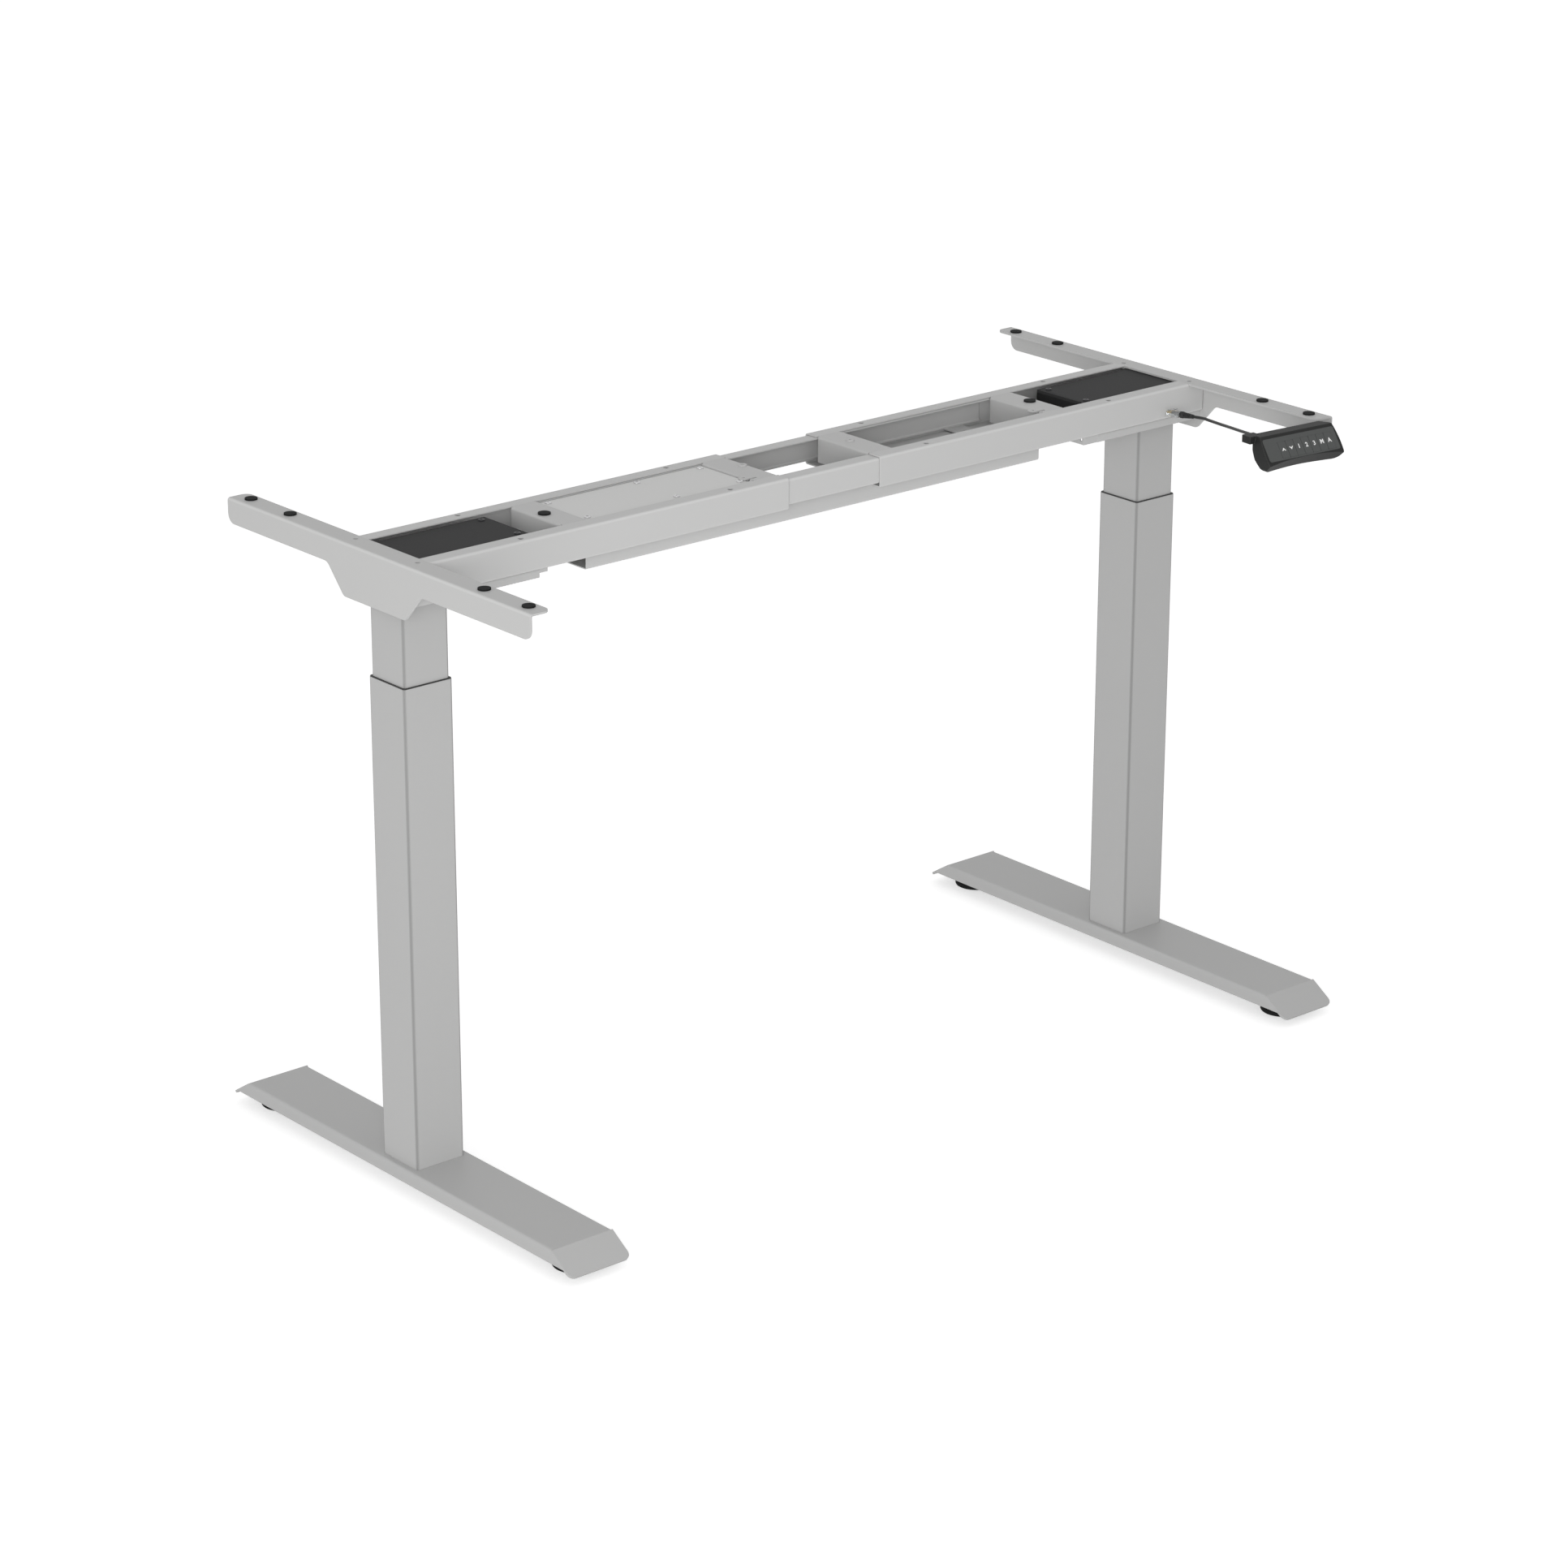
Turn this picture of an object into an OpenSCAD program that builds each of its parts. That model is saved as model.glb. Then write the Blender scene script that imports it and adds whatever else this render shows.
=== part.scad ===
// Two-column electric standing desk frame. Units are millimetres, +Z is up,
// the floor is z = 0, +X runs to the column with the handset, -Y is the user's side.

/* [Overall] */
// Distance between the two column centres
column_spacing = 1185; // [1060:1:1500]
// Height of the inner tubes' lower ends above the feet
lift_height = 103; // [26:1:440]

/* [Feet] */
// Length of a foot from flap tip to flap tip
foot_length = 696; // [640:1:760]
// Width of a foot
foot_width = 90; // [84:1:110]
// Height of the foot's top face above the floor
foot_height = 35; // [32:0.5:45]
// Thickness of the foot's folded sheet
foot_sheet = 3; // [2:0.1:4]
// Depth of the folded side skirt
foot_skirt = 17.5; // [14:0.5:22]
// Horizontal length of the sloping end flap
flap_run = 36; // [28:1:44]
// Drop of the sloping end flap
flap_drop = 23; // [16:0.5:25]
// Corner radius of the end flap
flap_corner = 9; // [4:0.5:14]
// Diameter of a levelling glide's pad
glide_width = 58; // [44:1:62]
// Height of a levelling glide's pad
glide_height = 8; // [6:0.5:10]
// Distance of a glide's centre from the flap tip
glide_inset = 48; // [45:1:80]
// Diameter of a glide's threaded stem
stem_width = 8; // [6:0.5:10]

/* [Columns] */
// Width of the square outer tube
outer_tube_width = 70; // [69:0.5:76]
// Length of the outer tube
outer_tube_length = 610; // [580:1:640]
// Width of the square inner tube
inner_tube_width = 65; // [58:0.5:65.5]
// Length of the inner tube
inner_tube_length = 625; // [600:1:660]
// Wall of both tubes
tube_wall = 1.5; // [1.2:0.1:1.6]
// Outside corner radius of both tubes
tube_corner = 3.5; // [2:0.1:5]
// Length of the plastic guides between the tubes
guide_length = 40; // [25:1:60]

/* [Lifting screws] */
// Outside diameter of the lifting screw
screw_width = 16; // [12:0.5:18]
// Length of the lifting screw below the gear wheel
screw_length = 594; // [570:1:600]
// Outside diameter of the push tube
push_tube_width = 28; // [25:0.5:34]
// Length of the push tube
push_tube_length = 540; // [510:1:560]
// Length of the lead nut
nut_height = 30; // [24:1:40]
// Diameter of the gear wheel on the screw
wheel_width = 42; // [30:1:46]

/* [Beam] */
// Depth of the beam over the outer rails
beam_depth = 142; // [140:1:170]
// Height of the outer rails
rail_height = 40; // [38:0.5:50]
// Sheet thickness of the rails
rail_sheet = 1.6; // [1.2:0.1:2]
// Flange width of the outer rails
rail_flange = 21; // [18:0.5:24]
// Bend radius of the rails
rail_bend = 3.4; // [2.4:0.1:4]
// Gap between the left and right outer rails
centre_gap = 148; // [146:1:180]
// Length of the inner rails and the tray
inner_rail_length = 734; // [680:1:740]
// Height of the inner rails
inner_rail_height = 33; // [28:0.5:34.4]
// Lower flange width of the inner rails
inner_lower_flange = 4; // [3.5:0.5:12]
// Diameter of the table screw holes in the rails
rail_hole = 7; // [4:0.5:8]
// Distance of the inner table screw holes from the middle
near_hole_x = 158.5; // [130:0.5:200]
// Distance of the outer table screw holes from the middle
far_hole_x = 474.5; // [440:0.5:500]

/* [Cross plates] */
// Width of a cross plate along the beam
cross_width = 40; // [30:1:42]
// Distance of the motor-side cross plate's centre from the middle
motor_cross_x = 387; // [384:1:395]
// Depth of a cross plate's turned-down edges
cross_edge = 33; // [10:0.5:34]

/* [Tray] */
// Width of the tray under the beam
tray_width = 92; // [84:1:94]
// Depth of the tray's side walls
tray_height = 24; // [14:0.5:24.5]
// Sheet thickness of the tray
tray_sheet = 1.5; // [1:0.1:2]
// Distance of the tray's floor below the beam's top face
tray_drop = 63.5; // [60:0.5:66]

/* [Side brackets] */
// Length of a side bracket
bracket_length = 596; // [560:1:620]
// Width of a side bracket's top flange
bracket_flange = 29.5; // [26:0.5:32]
// Sheet thickness of the side brackets
bracket_sheet = 2.5; // [2:0.1:3]
// Depth of the bracket's web at its wings
wing_depth = 31; // [26:0.5:36]
// Depth of the bracket's web at the column
lobe_depth = 66; // [56:0.5:76]
// Width of the web's deep part at its lower edge
lobe_width = 122; // [100:1:130]
// Width of the web's deep part at the wings
shoulder_width = 186; // [170:1:210]
// Distance from the column's centre to the web's outer face
bracket_offset = 48.5; // [47:0.5:54]
// Diameter of a rubber pad
pad_width = 15.5; // [10:0.5:16]
// Height of a rubber pad
pad_height = 2; // [1:0.5:4]
// Distance of the outer pads from the bracket's ends
outer_pad_inset = 25; // [18:1:38]
// Distance of the inner pads from the bracket's ends
inner_pad_inset = 107; // [88:1:128]
// Distance of the pads from the flange's inner edge
pad_inset = 12.5; // [9:0.5:14]

/* [Column head] */
// Sheet thickness of the mount channel on the column
mount_sheet = 2; // [1.5:0.1:3]
// Depth of the mount channel's lips
mount_lip = 11; // [8:0.5:16]
// Width of the mount channel
mount_width = 132; // [126:1:138]
// Distance of the mount channel's inner end from the column's centre
mount_reach = 164; // [160:0.5:170]
// Distance of the channel lips' inner ends from the column's centre
lip_reach = 141; // [120:0.5:145]
// Length of the motor housing
housing_length = 174.5; // [150:0.5:175]
// Width of the motor housing
housing_width = 89; // [80:1:92]
// Height of the motor housing
housing_height = 37; // [35:0.5:38]
// Diameter of the motor
motor_width = 32; // [26:0.5:32]
// Length of the motor
motor_length = 84; // [60:1:90]

/* [Control box] */
// Width of the control box
box_width = 88; // [80:1:90]
// Height of the control box below its lid
box_height = 30; // [24:0.5:30.5]
// Sheet thickness of the control box
box_sheet = 1.2; // [0.8:0.1:1.5]

/* [Handset] */
// Length of the handset
handset_length = 125; // [115:1:135]
// Turn of the handset about the vertical, in degrees
handset_turn = 5; // [0:0.5:8]
// Distance of the handset's middle inward from the column's centre
handset_inset = 39.5; // [34:0.5:50]
// Gap between the bracket's front end and the handset's rear edge
handset_gap = 4; // [3:0.5:5]
// Pitch of the keys
key_pitch = 12.7; // [11.5:0.1:13]
// Gap around a key
key_gap = 0.6; // [0.4:0.05:0.8]
// Diameter of the lead
lead_width = 4; // [3.5:0.1:4]

/* [Hidden] */
$fn = 48;
joined = 0.02;
half_spacing = column_spacing / 2;
inner_bottom = foot_height + lift_height;
mount_bottom = inner_bottom + inner_tube_length;
rail_bottom = mount_bottom + mount_sheet;
beam_top = rail_bottom + rail_height;
table_height = beam_top + pad_height;
half_beam = beam_depth / 2;
lip_edge = half_beam - rail_flange;
bracket_face = half_spacing + bracket_offset;
bracket_back = bracket_face - bracket_sheet;
flange_edge = bracket_face - bracket_flange;
half_gap = centre_gap / 2;
centre_cross_x = half_gap + cross_width / 2;

// feet
half_foot = foot_length / 2;
flat_half = half_foot - flap_run;
flap_slope = atan2(flap_drop, flap_run);
flap_long = norm([flap_run, flap_drop]);
foot_bend = foot_sheet + 1;
glide_y = half_foot - glide_inset;
stem_top_gap = 1;
stem_length = foot_height - foot_sheet - stem_top_gap - glide_height;
stem_clearance = 0.3;
weld_nut_width = 20;
weld_nut_height = 12;
glide_edge = 2.5;
collar_width = 14;
collar_height = 3;

// columns
outer_top = foot_height + outer_tube_length;
guide_clearance = 0.3;
rim_height = 1.2;
rim_inset = 0.5;
shoe_rim = 4;
foot_disc_width = 50;
foot_disc_height = 4;
push_wall = 3;
nut_shoulder_width = 34;
nut_shoulder_height = 8;
thread_clearance = 0.35;

// column head
screw_hole_clearance = 1.5;
wheel_gap = 10;
wheel_height = 12;
hub_width = 24;
hub_gap = 0.3;
wheel_bottom = rail_bottom + wheel_gap;
journal_width = 10;
journal_height = 8;
housing_wall = 2;
housing_corner = 3;
housing_end_x = half_spacing + 28;
housing_start_x = housing_end_x - housing_length;
housing_bevel = 2.5;
groove_start = 4;
groove_width = 1;
groove_depth = 0.6;
housing_screw_x = housing_start_x + 13.5;
housing_screw_y = 35;
gear_block_length = 52;
gear_block_width = 20;
gear_block_height = 32;
gear_block_gap = 1;
gear_block_start = half_spacing - 30;
motor_y = -26;
motor_foot_width = 18;
motor_foot_length = 40;
lug_width = 34;
lug_corner = 6;
lip_step_length = 12;
lip_step_share = 0.5;
lug_hole = 4;
lug_hole_drop = 4.7;
lug_hole_inset = 5.4;
lug_set_back = 1;

// beam
slide_gap = 0.4;
inner_face = half_beam - rail_sheet - slide_gap;
inner_top = beam_top - rail_sheet - slide_gap;
inner_upper_flange = inner_face - lip_edge + 2;
hole_y = half_beam - 9.5;
corner_hole = 6;
corner_hole_x = bracket_face - 19.5;
corner_hole_y = hole_y - 0.5;
tab_radius = 7;
relief_length = 13;
relief_width = 3;
tab_hole = 3.4;
tab_y = -33.5;
boss_radius = 5.5;
boss_height = 1.5;
boss_hole = 3.5;
boss_y = 8.5;
left_boss_x = -81;
right_boss_x = 93.5;
edge_end_gap = 3;
cross_sheet = 1.6;
cross_bend = 3;
cross_pad_offset = 6;

// tray
half_tray = tray_width / 2;
tray_floor = beam_top - tray_drop;
tray_bend = 3;
hanger_inset = 46;
hanger_x = inner_rail_length / 2 - hanger_inset;
hanger_width = 30;
hanger_foot = inner_face - 1;
inner_bottom_face = inner_top - inner_rail_height;
slot_width = 8;
slot_start = 84;
slot_end = inner_rail_length / 2 - 18;

// brackets
flange_corner = 10;
web_end_corner = 12;
lobe_corner = 10;
shoulder_corner = 12;
bracket_bend = 3.5;

// control box
box_x = -(motor_cross_x + centre_cross_x) / 2;
box_length = motor_cross_x - centre_cross_x - cross_width;
lid_drop = 2;
lid_top = beam_top - lid_drop;
lid_overlap = 1;
lid_end_gap = 3;
box_screw_y = 38;
box_screw_shares = [-0.465, 0.07, 0.459];
post_width = 8;
post_hole = 4.2;
standoff_width = 6;
standoff_height = 5;
board_length = 232;
board_width = 62;
board_sheet = 1.6;
standoff_share = 0.42;
relay_size = [19, 16, 15];
relay_xs = [-60, -34, -8];
capacitor_width = 16;
capacitor_height = 18;
capacitor_xs = [30, 52];
socket_size = [14, 16, 12];
socket_xs = [80, 98];
screw_head_width = 8.5;
screw_head_height = 1.6;
screw_shank_width = 4;
screw_shank_length = 7;

// handset
handset_x = half_spacing - handset_inset;
handset_y = bracket_length / 2 + handset_gap;
handset_z = table_height;
handset_top = -0.3;
case_profile = [[-1, 0], [-17.5, 0], [-20, -3], [-41.7, -32.7], [-30.5, -43.5], [-24, -43.5],
    [-12, -30], [-7.5, -18], [-6.5, -10], [-1, -10]];
case_rounds = [0, 1.5, 1.5, 2.5, 4, 4, 6, 6, 1.5, 0];
chin_tilt = atan2(case_profile[4][0] - case_profile[3][0], case_profile[3][1] - case_profile[4][1]);
rear_half = 52;
shoulder_depth = 20;
plan_corner = 4;
foot_corner = 10;
face_top = [-20, -3];
face_bottom = [-38.6, -28.5];
face_centre = (face_top + face_bottom) / 2;
face_length = norm(face_bottom - face_top);
face_tilt = atan2(face_top[1] - face_bottom[1], face_top[0] - face_bottom[0]);
panel_width = handset_length - 8;
panel_height = face_length - 1;
panel_depth = 4.5;
panel_corner = 3;
keys_width = 7 * key_pitch;
keys_inset = 6.5;
keys_left = panel_width / 2 - keys_inset - keys_width;
key_height = 22.4;
key_end_gap = 0.1;
key_centre = -2.2;
key_depth = 3.2;
key_rise = 0.2;
key_corner = 0.8;
key_names = ["key_up", "key_down", "key_one", "key_two", "key_three", "key_memory", "key_auto"];
cavity_length = 108;
cavity_height = 22;
cavity_depth = 9.5;
ledge = 3;
dome_width = 5;
dome_height = 0.5;
outlet_width = 18.5;
outlet_depth = 15.5;
outlet_height = 9.5;
outlet_step = 6.5;
outlet_rear = 5.5;
ear_hole = 3.6;
ear_hole_x = -52;
ear_hole_y = -4.6;
end_bulge_radius = 75;
arch_rise = 5;
board_thickness = 1.6;

// lead
plug_length = 21;
plug_width = 11.7;
plug_depth = 6.5;
latch_width = 6;
latch_length = 13;
latch_sheet = 1;
latch_rise = 2.5;
plug_clearance = 0.05;
boot_length = 22;
boot_start_width = 9;
boot_end_width = 5.5;
plug_x = half_spacing - 17.1;
plug_z = beam_top - 32;
plug_tilt = 4;
plug_drift = 2.7;
plug_nose_gap = plug_clearance + (plug_depth / 2 + latch_sheet) * sin(plug_tilt) + plug_width / 2 * sin(plug_drift);
// Inward from the column's centre, share of the way from beam to handset, below the beam's top
lead_route = [[15.1, 0.1852, 29], [14.9, 0.214, 28.5], [15.9, 0.2533, 27.4], [19.5, 0.2969, 25.8],
    [25, 0.345, 24], [32.7, 0.4148, 21.4], [43.2, 0.5109, 17.9], [52.6, 0.5983, 14.6],
    [62.1, 0.6856, 11.3], [71.6, 0.7729, 8.1], [81, 0.8603, 4.8], [87.6, 0.9214, 2.5],
    [92.2, 0.9642, 1]];
lead_points = [for (p = lead_route) [half_spacing - p[0], -half_beam - p[1] * (handset_y - half_beam),
    beam_top - p[2]]];

// Outlines

function unit(v) = v / norm(v);
function corner_points(before, at, after, r, steps) = r == 0 ? [at] :
    let (u = unit(before - at), w = unit(after - at), half = acos(u * w) / 2,
        centre = at + unit(u + w) * (r / sin(half)), run = r / tan(half),
        from = at + u * run - centre, to = at + w * run - centre,
        start = atan2(from[1], from[0]),
        turn = (atan2(to[1], to[0]) - start + 540) % 360 - 180)
    [for (i = [0:steps]) centre + r * [cos(start + turn * i / steps), sin(start + turn * i / steps)]];
function rounded(points, rounds, steps = 6) = [for (i = [0:len(points) - 1])
    each corner_points(points[(i + len(points) - 1) % len(points)], points[i],
        points[(i + 1) % len(points)], rounds[i], steps)];

module rounded_square(width, depth, corner) {
    square([width - 2 * corner, depth], center = true);
    square([width, depth - 2 * corner], center = true);
    for (x = [-1, 1], y = [-1, 1])
        translate([x * (width / 2 - corner), y * (depth / 2 - corner)]) circle(corner);
}

// Inverted folded channel, open below, top face at zero
module channel_section(width, depth, sheet, bend) {
    intersection() {
        translate([0, -depth]) difference() {
            rounded_square(width, 2 * depth, bend);
            rounded_square(width - 2 * sheet, 2 * (depth - sheet), bend - sheet);
        }
        translate([-width / 2, -depth]) square([width, depth]);
    }
}

// Folded rail with its web at zero and flanges toward positive
module rail_section(height, upper, lower, sheet, bend) {
    difference() {
        translate([upper, height / 2]) rounded_square(2 * upper, height, bend);
        translate([upper, height / 2]) rounded_square(2 * (upper - sheet), height - 2 * sheet, bend - sheet);
        translate([upper, 0]) square([upper, height]);
        translate([lower, 0]) square([upper, height / 2]);
    }
}

// Placing

module side(s) {
    if (s < 0) mirror([1, 0, 0]) children();
    else children();
}

module along_x(from, to) {
    translate([from, 0, 0]) rotate([90, 0, 90]) linear_extrude(to - from) children();
}

module along_y(half_length) {
    translate([0, half_length, 0]) rotate([90, 0, 0]) linear_extrude(2 * half_length) children();
}

// Feet

module flap() {
    translate([0, flat_half, foot_height]) rotate([-flap_slope, 0, 0]) translate([0, 0, -foot_sheet])
        linear_extrude(foot_sheet) polygon(rounded([[-foot_width / 2, -joined], [foot_width / 2, -joined],
            [foot_width / 2, flap_long], [-foot_width / 2, flap_long]], [0, 0, flap_corner, flap_corner]));
}

// Triangular end of the side skirt below the flap
module skirt_end() {
    for (x = [-foot_width / 2, foot_width / 2 - foot_sheet])
        translate([x, flat_half - joined, foot_height - foot_bend]) rotate([90, 0, 90])
            linear_extrude(foot_sheet) polygon([[0, 0], [0, foot_bend - foot_skirt],
                [flap_run * foot_skirt / flap_drop - foot_sheet, foot_bend - foot_skirt],
                [flap_run * foot_bend / flap_drop - foot_sheet, 0]]);
}

module foot() {
    color("silver") translate([half_spacing, 0, 0]) {
        skirt_end();
        mirror([0, 1, 0]) skirt_end();
        translate([0, 0, foot_height]) along_y(flat_half)
            channel_section(foot_width, foot_skirt, foot_sheet, foot_bend);
        flap();
        mirror([0, 1, 0]) flap();
        for (y = [-glide_y, glide_y]) translate([0, y, foot_height - foot_sheet - weld_nut_height])
            difference() {
                cylinder(d = weld_nut_width, h = weld_nut_height + joined);
                translate([0, 0, -joined]) cylinder(d = stem_width + 2 * stem_clearance,
                    h = weld_nut_height + joined);
            }
    }
}

module glide(y) {
    color([0.12, 0.12, 0.12]) translate([half_spacing, y, 0]) {
        rotate_extrude() polygon(rounded([[0, 0], [glide_width / 2, 0],
            [glide_width / 2, glide_height], [0, glide_height]], [0, glide_edge, glide_edge, 0]));
        translate([0, 0, glide_height]) {
            cylinder(d = collar_width, h = collar_height);
            cylinder(d = stem_width, h = stem_length);
        }
    }
}

// Columns

module tube(width, length) {
    linear_extrude(length) difference() {
        rounded_square(width, width, tube_corner);
        rounded_square(width - 2 * tube_wall, width - 2 * tube_wall, tube_corner - tube_wall);
    }
}

module outer_tube() {
    color("silver") translate([half_spacing, 0, foot_height]) tube(outer_tube_width, outer_tube_length);
}

module inner_tube() {
    color("silver") translate([half_spacing, 0, inner_bottom]) tube(inner_tube_width, inner_tube_length);
}

module guide_collar() {
    opening = inner_tube_width + 2 * guide_clearance;
    body = outer_tube_width - 2 * tube_wall;
    rim = outer_tube_width - 2 * rim_inset;
    color([0.2, 0.2, 0.2]) translate([half_spacing, 0, outer_top]) difference() {
        union() {
            translate([0, 0, -guide_length]) linear_extrude(guide_length)
                rounded_square(body, body, tube_corner - tube_wall);
            linear_extrude(rim_height) rounded_square(rim, rim, tube_corner - rim_inset);
        }
        translate([0, 0, -guide_length - joined]) linear_extrude(guide_length + rim_height + 2 * joined)
            rounded_square(opening, opening, tube_corner);
    }
}

module guide_shoe() {
    body = outer_tube_width - 2 * tube_wall - 2 * guide_clearance;
    opening = inner_tube_width - 2 * shoe_rim;
    color([0.2, 0.2, 0.2]) translate([half_spacing, 0, inner_bottom]) difference() {
        translate([0, 0, -shoe_rim]) linear_extrude(guide_length + shoe_rim)
            rounded_square(body, body, tube_corner - tube_wall);
        linear_extrude(guide_length + joined) rounded_square(inner_tube_width, inner_tube_width, tube_corner);
        translate([0, 0, -shoe_rim - joined]) linear_extrude(shoe_rim + 2 * joined)
            rounded_square(opening, opening, tube_corner);
    }
}

module push_tube() {
    color([0.7, 0.7, 0.68]) translate([half_spacing, 0, foot_height]) difference() {
        union() {
            cylinder(d = foot_disc_width, h = foot_disc_height);
            cylinder(d = push_tube_width, h = push_tube_length + nut_height);
            translate([0, 0, push_tube_length]) cylinder(d = nut_shoulder_width, h = nut_shoulder_height);
        }
        translate([0, 0, foot_disc_height]) cylinder(d = push_tube_width - 2 * push_wall,
            h = push_tube_length - foot_disc_height);
        translate([0, 0, push_tube_length - joined]) cylinder(d = screw_width + 2 * thread_clearance,
            h = nut_height + 2 * joined);
    }
}

module lifting_screw() {
    color([0.72, 0.72, 0.7]) translate([half_spacing, 0, wheel_bottom]) {
        translate([0, 0, -screw_length]) cylinder(d = screw_width, h = screw_length + joined);
        translate([0, 0, hub_gap - wheel_gap]) cylinder(d = hub_width, h = wheel_gap);
        cylinder(d = wheel_width, h = wheel_height);
        cylinder(d = journal_width, h = wheel_height + journal_height);
    }
}

// Column heads

module mount_channel() {
    inner_end = half_spacing - mount_reach;
    lip_end = half_spacing - lip_reach;
    color("silver") difference() {
        union() {
            translate([0, 0, rail_bottom]) along_x(lip_end, bracket_back)
                channel_section(mount_width, mount_lip, mount_sheet, mount_sheet + 1);
            translate([inner_end, -mount_width / 2 + mount_sheet + 1, mount_bottom])
                cube([lip_end - inner_end + joined, mount_width - 2 * mount_sheet - 2, mount_sheet]);
            mount_lug();
            translate([lip_end - lip_step_length, mount_width / 2 - mount_sheet,
                rail_bottom - lip_step_share * mount_lip])
                cube([lip_step_length + joined, mount_sheet, lip_step_share * mount_lip]);
            for (y = [-housing_screw_y, housing_screw_y])
                translate([housing_screw_x, y, mount_bottom]) cylinder(d = post_width,
                    h = mount_sheet + housing_height - housing_wall);
        }
        for (y = [-housing_screw_y, housing_screw_y])
            translate([housing_screw_x, y, rail_bottom + housing_height / 2])
                cylinder(d = post_hole, h = housing_height);
        translate([half_spacing, 0, mount_bottom - joined])
            cylinder(d = screw_width + 2 * screw_hole_clearance, h = mount_sheet + 2 * joined);
    }
}

// Lip at the front inner corner and down-turned lug with a square hole round the corner
module mount_lug() {
    start = half_spacing - mount_reach;
    corner_y = lug_set_back - mount_width / 2;
    translate([start, corner_y, rail_bottom - mount_lip]) cube([mount_reach - lip_reach + joined,
        mount_sheet, mount_lip]);
    translate([start, corner_y, rail_bottom]) rotate([90, 0, 90]) linear_extrude(mount_sheet) difference() {
        polygon(rounded([[0, 0], [0, -mount_lip], [lug_width, -mount_lip], [lug_width, 0]],
            [0, 0, lug_corner, 0]));
        translate([lug_hole_inset, -lug_hole_drop]) square(lug_hole, center = true);
    }
}

module motor_housing() {
    color([0.22, 0.22, 0.22]) translate([housing_start_x, 0, rail_bottom]) difference() {
        intersection() {
            translate([housing_length / 2, 0, 0]) linear_extrude(housing_height)
                rounded_square(housing_length, housing_width, housing_corner);
            along_y(housing_width) polygon([[0, 0], [housing_length, 0], [housing_length, housing_height],
                [housing_bevel, housing_height], [0, housing_height - housing_bevel]]);
        }
        translate([housing_length / 2, 0, -joined]) linear_extrude(housing_height - housing_wall + joined)
            rounded_square(housing_length - 2 * housing_wall, housing_width - 2 * housing_wall,
                housing_corner - housing_wall);
        translate([groove_start, -housing_width / 2 - housing_wall, housing_height - groove_depth])
            cube([groove_width, housing_width + 2 * housing_wall, housing_wall]);
        for (y = [-housing_screw_y, housing_screw_y])
            translate([housing_screw_x - housing_start_x, y, 0])
                cylinder(d = post_hole, h = housing_height + housing_wall);
    }
}

module screw() {
    cylinder(d = screw_head_width, h = screw_head_height);
    translate([0, 0, -screw_shank_length]) cylinder(d = screw_shank_width, h = screw_shank_length + joined);
}

module housing_screws() {
    color([0.3, 0.3, 0.3]) for (y = [-housing_screw_y, housing_screw_y])
        translate([housing_screw_x, y, rail_bottom + housing_height]) screw();
}

// Geared motor lying beside the gear wheel
module gearmotor() {
    block_y = -(wheel_width / 2 + gear_block_gap + gear_block_width);
    axis_z = wheel_bottom + wheel_height / 2;
    color([0.3, 0.3, 0.32]) {
        translate([gear_block_start, block_y, rail_bottom])
            cube([gear_block_length, gear_block_width, gear_block_height]);
        translate([gear_block_start - motor_length, motor_y, axis_z]) rotate([0, 90, 0])
            cylinder(d = motor_width, h = motor_length + joined);
        translate([gear_block_start - motor_length / 2 - motor_foot_length / 2,
            motor_y - motor_foot_width / 2, rail_bottom])
            cube([motor_foot_length, motor_foot_width, motor_width / 2]);
    }
}

// Side brackets

module bracket_outline() {
    polygon(rounded([[-bracket_length / 2, 0], [bracket_length / 2, 0], [bracket_length / 2, -wing_depth],
        [shoulder_width / 2, -wing_depth], [lobe_width / 2, -lobe_depth], [-lobe_width / 2, -lobe_depth],
        [-shoulder_width / 2, -wing_depth], [-bracket_length / 2, -wing_depth]],
        [0, 0, web_end_corner, shoulder_corner, lobe_corner, lobe_corner, shoulder_corner, web_end_corner]));
}

module side_bracket() {
    color("silver") difference() {
        intersection() {
            translate([bracket_face, 0, beam_top]) along_y(bracket_length / 2)
                bracket_section();
            translate([0, 0, beam_top]) along_x(flange_edge, bracket_face) bracket_outline();
            translate([0, 0, beam_top - lobe_depth]) linear_extrude(lobe_depth)
                polygon(rounded([[bracket_face, -bracket_length / 2], [bracket_face, bracket_length / 2],
                    [flange_edge, bracket_length / 2], [flange_edge, -bracket_length / 2]],
                    [0, 0, flange_corner, flange_corner]));
        }
        for (y = [-1, 1]) translate([corner_hole_x, y * corner_hole_y, beam_top - 2 * bracket_sheet])
            cylinder(d = corner_hole, h = 3 * bracket_sheet);
    }
}

// Web and flange with the fold between them, outer face at zero
module bracket_section() {
    difference() {
        translate([-bracket_flange, -lobe_depth]) rounded_square(2 * bracket_flange, 2 * lobe_depth, bracket_bend);
        translate([-bracket_flange, -lobe_depth])
            rounded_square(2 * (bracket_flange - bracket_sheet), 2 * (lobe_depth - bracket_sheet),
                bracket_bend - bracket_sheet);
        translate([-2 * bracket_flange, -2 * lobe_depth]) square([bracket_flange, 2 * lobe_depth]);
        translate([-bracket_flange, -2 * lobe_depth]) square([bracket_flange, lobe_depth]);
    }
}

module rubber_pads() {
    color([0.15, 0.16, 0.16]) {
        for (inset = [outer_pad_inset, inner_pad_inset], y = [-1, 1])
            translate([flange_edge + pad_inset, y * (bracket_length / 2 - inset), beam_top])
                cylinder(d = pad_width, h = pad_height);
        translate([motor_cross_x + cross_pad_offset, 0, beam_top]) cylinder(d = pad_width, h = pad_height);
    }
}

// Beam

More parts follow.
